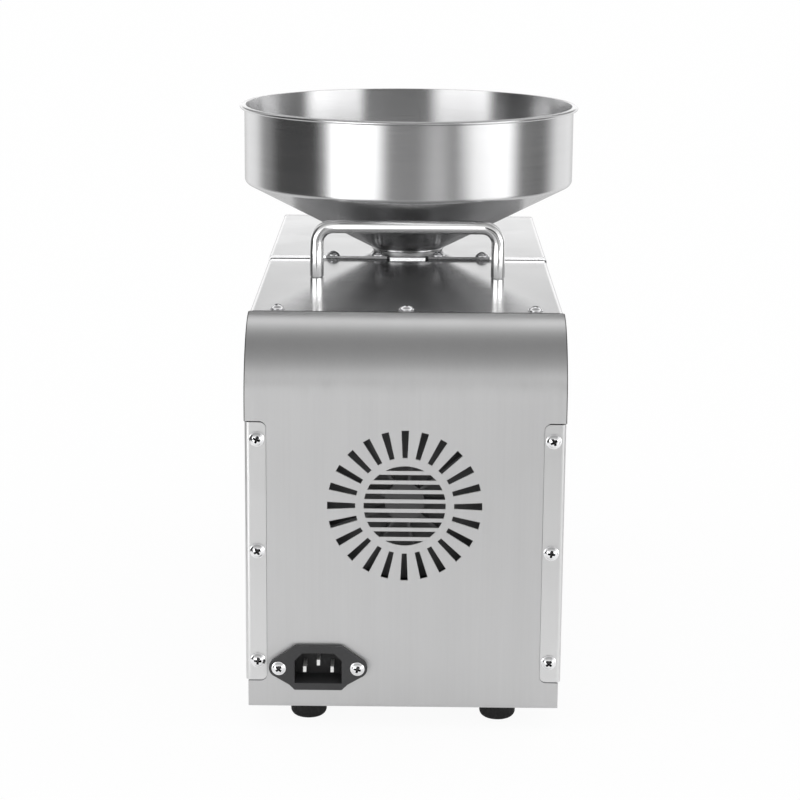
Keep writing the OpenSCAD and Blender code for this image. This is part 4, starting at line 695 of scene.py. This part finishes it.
def make_bent_rod():
    """A round rod along a route of straight runs with rounded corners."""
    tree, entry, leave = shape_tree("bent_rod", [
        ("Rod Radius", "Float", 0.004), ("Bend Radius", "Float", 0.009), ("Sides", "Int", 48),
        ("Bend Steps", "Int", 20)])
    route = add(tree, "GeometryNodeMeshToCurve", i0=entry.outputs["Geometry"])
    bent = tree.nodes.new("GeometryNodeFilletCurve")
    bent.mode = "POLY"
    tree.links.new(route.outputs[0], bent.inputs["Curve"])
    tree.links.new(entry.outputs["Bend Radius"], bent.inputs["Radius"])
    tree.links.new(entry.outputs["Bend Steps"], bent.inputs["Count"])
    ring = add(tree, "GeometryNodeCurvePrimitiveCircle", Resolution=entry.outputs["Sides"],
               Radius=entry.outputs["Rod Radius"])
    swept = add(tree, "GeometryNodeCurveToMesh", Curve=bent.outputs[0], Profile_Curve=ring.outputs[0],
                Fill_Caps=True)
    finish_shape(tree, swept.outputs[0], entry, leave)
    return tree


def point_value(tree, name, kind):
    """A named value of the points."""
    node = tree.nodes.new("GeometryNodeInputNamedAttribute")
    node.data_type = kind
    node.inputs["Name"].default_value = name
    return node.outputs[0]


def make_screw_rows():
    """One screw on each point, facing along the point's outward vector and turned by its own angle."""
    tree, entry, leave = shape_tree("screw_rows", [("Screw", "Object", None), ("Size", "Float", 1.0)])
    info = add(tree, "GeometryNodeObjectInfo", Object=entry.outputs["Screw"], As_Instance=True)
    aim = tree.nodes.new("FunctionNodeAlignRotationToVector")
    aim.axis = "Z"
    tree.links.new(point_value(tree, "outward", "FLOAT_VECTOR"), aim.inputs["Vector"])
    spin = add(tree, "FunctionNodeAxisAngleToRotation", Axis=(0, 0, 1), Angle=point_value(tree, "turn", "FLOAT"))
    turned = add(tree, "FunctionNodeRotateRotation", i0=aim.outputs[0], i1=spin.outputs[0])
    turned.rotation_space = "LOCAL"
    placed = add(tree, "GeometryNodeInstanceOnPoints", Points=entry.outputs["Geometry"],
                 Instance=info.outputs["Geometry"], Rotation=turned.outputs[0], Scale=entry.outputs["Size"])
    finish_shape(tree, placed.outputs[0], entry, leave)
    return tree


def evaluated_mesh(source):
    """A plain mesh of an object with its modifiers applied."""
    bpy.context.view_layer.update()
    return bpy.data.meshes.new_from_object(source.evaluated_get(bpy.context.evaluated_depsgraph_get()))


def place_object(name, mesh):
    item = bpy.data.objects.new(name, mesh)
    scene.collection.objects.link(item)
    return item


def grow(name, tree, start, values):
    """A plain mesh object from a shape tree, with the tree's inputs set by their identifiers."""
    source = place_object(name + "_source", start)
    modifier = source.modifiers.new("shape", "NODES")
    modifier.node_group = tree
    for item in tree.interface.items_tree:
        if item.item_type == "SOCKET" and item.in_out == "INPUT" and item.name in values:
            modifier[item.identifier] = values[item.name]
    result = evaluated_mesh(source)
    source.modifiers.remove(modifier)
    bpy.data.objects.remove(source)
    result.name = name
    result.materials.clear()
    result.materials.append(values["Material"])
    result.polygons.foreach_set("material_index", [0] * len(result.polygons))
    return place_object(name, result)


def face_outward(piece):
    """Recalculates the normals of a closed piece."""
    shell = bmesh.new()
    shell.from_mesh(piece.data)
    bmesh.ops.recalc_face_normals(shell, faces=shell.faces)
    shell.to_mesh(piece.data)
    shell.free()


def points_mesh(name, points, edges=()):
    mesh = bpy.data.meshes.new(name)
    mesh.from_pydata([tuple(p) for p in points], list(edges), [])
    return mesh


# Hopper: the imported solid's section with finer arcs

HOPPER_SEGMENTS = 256
RIM_STEPS = 20
FILLET_STEPS = 16
RING_STEPS = 14


def arc(centre, radius, start, end, steps):
    """Points (r, z) of an arc, angles in degrees."""
    angles = [math.radians(start + (end - start) * k / steps) for k in range(steps + 1)]
    return [(centre[0] + radius * math.cos(a), centre[1] + radius * math.sin(a)) for a in angles]


def cone_slope(low):
    """Slope in degrees of a cone from the bowl's wall down to the ring."""
    return math.degrees(math.atan2(WALL_Z - low, BOWL_R - RING_R))


def hopper_section():
    """Points round the sheet's section. The ring's bead hangs a little below the cone, round the collar."""
    slope = cone_slope(RING_Z)
    turn = 90 - slope
    outer_slope = cone_slope(RING_LOW)
    centre = (BOWL_R - BOWL_FILLET, WALL_Z + BOWL_FILLET * math.tan(math.radians(turn / 2)))
    rim_r = BOWL_R + RIM_LIP
    neck_low = RING_Z - NECK_L
    inset = HOPPER_T * (1 / math.cos(math.radians(slope)) - 1) / math.tan(math.radians(slope))
    section = [(BOWL_R - HOPPER_T, RIM_Z)]
    section += arc((rim_r - RIM_BEAD, RIM_Z - RIM_BEAD), RIM_BEAD, 90, -90, RIM_STEPS)
    section += [(BOWL_R, RIM_Z - 2 * RIM_BEAD)]
    section += arc(centre, BOWL_FILLET, 0, outer_slope - 90, FILLET_STEPS)
    section += arc((RING_R, RING_LOW), RING_BEAD, outer_slope, -180, RING_STEPS)
    section += [(RING_R - RING_BEAD, RING_Z), (NECK_R, RING_Z), (NECK_R, neck_low), (NECK_R - HOPPER_T, neck_low)]
    section += [(NECK_R - HOPPER_T, RING_Z + HOPPER_T), (RING_R - inset, RING_Z + HOPPER_T)]
    section += arc(centre, BOWL_FILLET - HOPPER_T, -turn, 0, FILLET_STEPS)
    section += section[:1]
    return [(r * MM, 0.0, z * MM) for r, z in section]


SPUN_SHELL = make_spun_shell()
section = hopper_section()
hopper = grow("hopper_spun", SPUN_SHELL, points_mesh("hopper_section", section),
              {"Section Points": len(section), "Segments": HOPPER_SEGMENTS, "Axis": (HOPPER_X, HOPPER_Y, 0.0),
               "Material": HOPPER_STEEL})
face_outward(hopper)
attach(hopper, "hopper")
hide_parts("hopper")


# Carry handle: a bent rod with its threaded ends under the cover

HANDLE_BEND = 9.0 * MM
STUD_D = 5.0 * MM
COVER_TOP = 210.0 * MM
FOOT_CHAMFER = 0.5 * MM
BENT_ROD = make_bent_rod()
handle_route = [(-leg_x, handle_y, COVER_TOP), (-leg_x, handle_y, bar_z), (leg_x, handle_y, bar_z),
                (leg_x, handle_y, COVER_TOP)]
handle = grow("handle_rod", BENT_ROD, points_mesh("handle_route", handle_route, [(0, 1), (1, 2), (2, 3)]),
              {"Rod Radius": ROD_D / 2, "Bend Radius": HANDLE_BEND, "Sides": 48, "Bend Steps": 24,
               "Material": HANDLE_STEEL})
stud_route = [(side * leg_x, handle_y, z) for side in (-1, 1) for z in (handle_low.z, COVER_TOP)]
studs = grow("handle_studs", BENT_ROD, points_mesh("stud_route", stud_route, [(0, 1), (2, 3)]),
             {"Rod Radius": STUD_D / 2, "Bend Radius": 0.0, "Sides": 24, "Bend Steps": 1,
              "Material": HANDLE_STEEL})


def chamfer_feet(piece, depth):
    """Draws in the lower ends of the legs."""
    shell = bmesh.new()
    shell.from_mesh(piece.data)
    bmesh.ops.bisect_plane(shell, geom=shell.verts[:] + shell.edges[:] + shell.faces[:],
                           plane_co=(0, 0, COVER_TOP + depth), plane_no=(0, 0, 1))
    for v in shell.verts:
        if v.co.z < COVER_TOP + depth / 2:
            axis = Vector((math.copysign(leg_x, v.co.x), handle_y, v.co.z))
            v.co = axis + (v.co - axis) * (1 - depth / (ROD_D / 2))
    shell.to_mesh(piece.data)
    shell.free()


chamfer_feet(handle, FOOT_CHAMFER)
for piece in (handle, studs):
    face_outward(piece)
    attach(piece, "casing")
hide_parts("carry_handle")


# Screws: pan heads with a cross recess

SCREW_SIDES = 32
DOME_STEPS = 9
TIP_CHAMFER = (0.2 * MM, 0.4 * MM)
# shares of the head's edge, and of its height or width
HEAD_ROUND = (0.3, 1.9)
DOME_IN = 0.25
HEAD_EDGE = 0.12
CROSS_AREA = 0.3
CROSS_DEPTH = 0.05


def closed_object(name, shell):
    """An object of a closed shell, with its faces outward."""
    bmesh.ops.recalc_face_normals(shell, faces=shell.faces)
    mesh = bpy.data.meshes.new(name)
    shell.to_mesh(mesh)
    shell.free()
    return place_object(name, mesh)


def turned_ring(shell, r, z):
    """A ring of points round Z, or one point on the axis."""
    if r == 0.0:
        return [shell.verts.new((0, 0, z))]
    angles = [2 * math.pi * k / SCREW_SIDES for k in range(SCREW_SIDES)]
    return [shell.verts.new((r * math.cos(a), r * math.sin(a), z)) for a in angles]


def pan_screw(name, head_d, head_h, shank_d, shank_l):
    """A screw along Z with its head's seat at zero."""
    dome_r = (head_d ** 2 / 4 + head_h ** 2) / (2 * head_h)
    edge = HEAD_EDGE * head_h

    def dome(r):
        return head_h - dome_r + math.sqrt(dome_r ** 2 - r ** 2)

    profile = [(0.0, -shank_l), (shank_d / 2 - TIP_CHAMFER[0], -shank_l), (shank_d / 2, -shank_l + TIP_CHAMFER[1]),
               (shank_d / 2, 0.0), (head_d / 2 - edge, 0.0), (head_d / 2, edge),
               (head_d / 2 - HEAD_ROUND[0] * edge, HEAD_ROUND[1] * edge)]
    for k in range(1, DOME_STEPS + 1):
        r = (head_d / 2 - DOME_IN * edge) * (1 - k / DOME_STEPS)
        profile.append((r, dome(r)))
    shell = bmesh.new()
    rings = [turned_ring(shell, r, z) for r, z in profile]
    for a, b in zip(rings, rings[1:]):
        for k in range(SCREW_SIDES):
            j = (k + 1) % SCREW_SIDES
            corners = (a[k % len(a)], a[j % len(a)], b[j % len(b)], b[k % len(b)])
            shell.faces.new(list(dict.fromkeys(corners)))
    screw = closed_object(name, shell)
    cutter = cross_cutter(name + "_cross", head_d, head_h)
    cut = screw.modifiers.new("cross", "BOOLEAN")
    cut.operation = "DIFFERENCE"
    cut.solver = "EXACT"
    cut.object = cutter
    done = evaluated_mesh(screw)
    screw.modifiers.remove(cut)
    screw.data = done
    bpy.data.objects.remove(cutter)
    # faces sunk in the cross, which get painted shade
    done.attributes.new("recess", "FLOAT", "FACE")
    for k, face in enumerate(done.polygons):
        r = math.hypot(face.center.x, face.center.y)
        inside = r < CROSS_AREA * head_d and face.center.z > 0
        sunk = inside and face.center.z < dome(r) - CROSS_DEPTH * head_h
        done.attributes["recess"].data[k].value = 1.0 if sunk else 0.0
    return screw


def cross_cutter(name, head_d, head_h):
    """The tapered cross of the driver's recess."""
    reach, root = 0.29 * head_d, 0.16 * head_d
    half, half_root = 0.085 * head_d, 0.045 * head_d
    top, floor = head_h * 1.1, head_h * 0.25
    shell = bmesh.new()

    def outline(r, w, z):
        corners = []
        for k in range(4):
            turn = Matrix.Rotation(k * math.pi / 2, 2)
            corners += [turn @ Vector(c) for c in ((r, -w), (r, w), (w, w))]
        return [shell.verts.new((p.x, p.y, z)) for p in corners]

    upper = outline(reach, half, top)
    lower = outline(root, half_root, floor)
    shell.faces.new(upper)
    shell.faces.new(list(reversed(lower)))
    count = len(upper)
    for k in range(count):
        j = (k + 1) % count
        shell.faces.new((lower[k], lower[j], upper[j], upper[k]))
    return closed_object(name, shell)


def screw_points(name, places):
    """A mesh of points with an outward vector and a turn for each screw."""
    mesh = points_mesh(name, [p for p, _, _ in places])
    mesh.attributes.new("outward", "FLOAT_VECTOR", "POINT")
    mesh.attributes.new("turn", "FLOAT", "POINT")
    for k, (_, out, angle) in enumerate(places):
        mesh.attributes["outward"].data[k].vector = out
        mesh.attributes["turn"].data[k].value = math.radians(angle)
    return mesh


# Places of the screws in millimetres, with Y from the rear panel's outer face

BODY_L = 370.0
TOP_Z = 210.0
SEAM_STEP = 1.6
MID_Y = 211.65
FLANGE_SCREW_X = 74.0
FLANGE_SCREW_Z = (36.5, 94.5, 152.5)
TOP_SCREW_X = 66.0
TOP_SCREW_Y = 46.0
SEAM_SCREW_X = (17.5, 43.0)
SEAM_SCREW_Y = 204.2
INLET_X = -43.3
INLET_Z = 33.2
INLET_SCREW_OUT = 20.0
INLET_FACE = -2.8
OUT_REAR, OUT_FRONT, OUT_TOP = (0, -1, 0), (0, 1, 0), (0, 0, 1)


def row_point(x, y, z):
    """A point given from the rear panel's outer face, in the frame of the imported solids."""
    return (x * MM, (y - MID_Y) * MM, z * MM)


# each place has a point, the way its head faces and the angle in degrees at which it was driven home
casing_places = []
for x in (-FLANGE_SCREW_X, FLANGE_SCREW_X):
    for k, z in enumerate(FLANGE_SCREW_Z):
        casing_places.append((row_point(x, 0, z), OUT_REAR, 20 + 37 * k + x / 3))
        casing_places.append((row_point(x, BODY_L, z), OUT_FRONT, 11 + 53 * k - x / 4))
for k in (-1, 0, 1):
    casing_places.append((row_point(k * TOP_SCREW_X, TOP_SCREW_Y, TOP_Z), OUT_TOP, 8 + 31 * k))
for x in SEAM_SCREW_X:
    for side in (-1, 1):
        casing_places.append((row_point(side * x, SEAM_SCREW_Y, TOP_Z + SEAM_STEP), OUT_TOP, side * x))
inlet_places = [(row_point(INLET_X + side * INLET_SCREW_OUT, INLET_FACE, INLET_Z), OUT_REAR, 14 - 30 * side)
                for side in (-1, 1)]

SCREW_ROWS = make_screw_rows()
casing_screw = pan_screw("casing_screw", head_d=7.8 * MM, head_h=2.3 * MM, shank_d=4.0 * MM, shank_l=7.0 * MM)
inlet_screw = pan_screw("inlet_screw", head_d=7.4 * MM, head_h=1.9 * MM, shank_d=3.0 * MM, shank_l=9.0 * MM)
for name, screw, places, node in (("casing_screws", casing_screw, casing_places, "cover_screws"),
                                  ("inlet_screw_pair", inlet_screw, inlet_places, "inlet_screws")):
    screws = grow(name, SCREW_ROWS, screw_points(name + "_places", places),
                  {"Screw": screw, "Size": 1.0, "Material": SCREW_STEEL})
    bpy.data.objects.remove(screw)
    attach(screws, "casing")
    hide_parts(node)


# Floor: a white table, which polished metal sees near the object, and the studio beyond it

FLOOR_HALF = 40.0
TABLE_NEAR = 0.32
TABLE_FAR = 0.60
PAPER_TONE = (0.94, 0.94, 0.94, 1)
PURE_WHITE = (1, 1, 1, 1)
FLOOR_WHITE = 1.0
SHADOW_SHARE = 0.06
MIRROR_SHARE = 0.25


def make_floor():
    mesh = bpy.data.meshes.new("floor")
    h = FLOOR_HALF
    mesh.from_pydata([(-h, -h, 0), (h, -h, 0), (h, h, 0), (-h, h, 0)], [], [(0, 1, 2, 3)])
    floor = place_object("floor", mesh)
    finish = bpy.data.materials.new("white_table")
    finish.use_nodes = True
    tree = finish.node_tree
    tree.nodes.clear()
    leave = tree.nodes.new("ShaderNodeOutputMaterial")
    paper = add(tree, "ShaderNodeBsdfDiffuse", Color=PAPER_TONE)
    white = add(tree, "ShaderNodeEmission", Color=PURE_WHITE, Strength=FLOOR_WHITE)
    path = tree.nodes.new("ShaderNodeLightPath")
    glossy = path.outputs["Is Glossy Ray"]
    mirrored = math_node(tree, "MAXIMUM", glossy, path.outputs["Is Transmission Ray"])
    share = math_node(tree, "MAXIMUM", times(tree, path.outputs["Is Camera Ray"], 1 - SHADOW_SHARE),
                      times(tree, mirrored, MIRROR_SHARE))
    lit = add(tree, "ShaderNodeMixShader", i0=share, i1=paper.outputs[0], i2=white.outputs[0])
    place = tree.nodes.new("ShaderNodeTexCoord").outputs["Object"]
    away = vector_node(tree, "LENGTH", place).outputs["Value"]
    open_edge = times(tree, rising(tree, away, TABLE_NEAR, TABLE_FAR), glossy)
    clear = tree.nodes.new("ShaderNodeBsdfTransparent")
    table = add(tree, "ShaderNodeMixShader", i0=open_edge, i1=lit.outputs[0], i2=clear.outputs[0])
    tree.links.new(table.outputs[0], leave.inputs[0])
    mesh.materials.append(finish)


make_floor()


# Studio: soft boxes and dark flags round the object by direction, and an even fill for everything that isn't glossy

FILL = 1.0
WHITE_BACK = 1.0
# boxes and flags below and above the horizon: degrees round the object from the rear, and brightness
BANDS = [
    (-180, 0.7), (-164, 0.7), (-148, 1.0), (-136, 1.0), (-116, 0.30), (-100, 0.06), (-61, 0.06), (-50, 2.3),
    (-27, 1.95), (-11, 0.43), (4, 0.40), (20, 0.90), (38, 0.18), (49, 1.0), (60, 1.25), (70, 1.5), (87, 0.26),
    (105, 0.15), (130, 1.0), (148, 1.0), (164, 0.7), (180, 0.7)]
UPPER_BANDS = [
    (-180, 1.0), (-136, 1.0), (-116, 0.40), (-100, 0.08), (-68, 0.04), (-54, 3.0), (-27, 3.0), (-12, 0.02),
    (30, 0.02), (40, 3.0), (70, 3.0), (86, 0.25), (105, 0.40), (130, 1.0), (180, 1.0)]
# strips overhead: degrees over the top from the rear, and brightness
STRIPS = [
    (0, 0.90), (26, 0.90), (36, 0.68), (48, 0.48), (62, 0.38), (76, 0.33), (90, 0.31), (103, 0.40), (116, 0.70),
    (127, 1.10), (137, 1.0), (146, 0.35), (158, 0.30), (165, 0.20), (168.5, 0.40), (170.2, 1.05), (171.2, 1.22),
    (180, 1.22)]
# degrees over which the upper bands take over, the boxes fade out, and the strips begin
HORIZON = (-6, 4)
BOX_FADE = (9, 16)
STRIP_RISE = (17, 26)
# the most that the boxes give below and above their fade
BOX_MOST = 3.0
BOX_TOP = 0.9
# how far to the sides the strips reach, as the sideways part of a direction
STRIP_REACH = (0.62, 0.80)


def sine_pair(degrees):
    """The upward parts of two directions, given by their angles over the horizon."""
    return [math.sin(math.radians(d)) for d in degrees]


def make_studio():
    world = bpy.data.worlds.new("studio")
    world.use_nodes = True
    scene.world = world
    tree = world.node_tree
    tree.nodes.clear()
    leave = tree.nodes.new("ShaderNodeOutputWorld")
    x, y, z = axes(tree, tree.nodes.new("ShaderNodeTexCoord").outputs["Generated"])
    rearward = times(tree, y, -1.0)
    turn = rising(tree, math_node(tree, "ARCTAN2", x, rearward), -math.pi, math.pi)
    lower = ramp(tree, turn, [((a + 180) / 360, t) for a, t in BANDS])
    upper = ramp(tree, turn, [((a + 180) / 360, t) for a, t in UPPER_BANDS])
    bands = blend_colour(tree, rising(tree, z, *sine_pair(HORIZON)), lower, upper)
    limit = spread(tree, z, BOX_MOST, BOX_TOP, *sine_pair(BOX_FADE))
    boxes = blend_colour(tree, 1.0, bands, limit, way="DARKEN")
    over = math_node(tree, "ARCTAN2", z, rearward)
    strips = ramp(tree, rising(tree, over, 0.0, math.pi), [(a / 180, t) for a, t in STRIPS])
    rise = rising(tree, over, *(math.radians(d) for d in STRIP_RISE))
    middle = falling(tree, math_node(tree, "ABSOLUTE", x), *STRIP_REACH)
    room = blend_colour(tree, times(tree, rise, middle), boxes, strips)
    path = tree.nodes.new("ShaderNodeLightPath")
    fill = add(tree, "ShaderNodeBackground", Color=PURE_WHITE, Strength=FILL)
    seen = add(tree, "ShaderNodeBackground", Color=PURE_WHITE, Strength=WHITE_BACK)
    gloss = add(tree, "ShaderNodeBackground", Color=room)
    shown = add(tree, "ShaderNodeMixShader", i0=path.outputs["Is Camera Ray"], i1=fill.outputs[0],
                i2=seen.outputs[0])
    both = add(tree, "ShaderNodeMixShader", i0=path.outputs["Is Glossy Ray"], i1=shown.outputs[0],
               i2=gloss.outputs[0])
    tree.links.new(both.outputs[0], leave.inputs[0])


make_studio()
scene.view_settings.view_transform = "Standard"
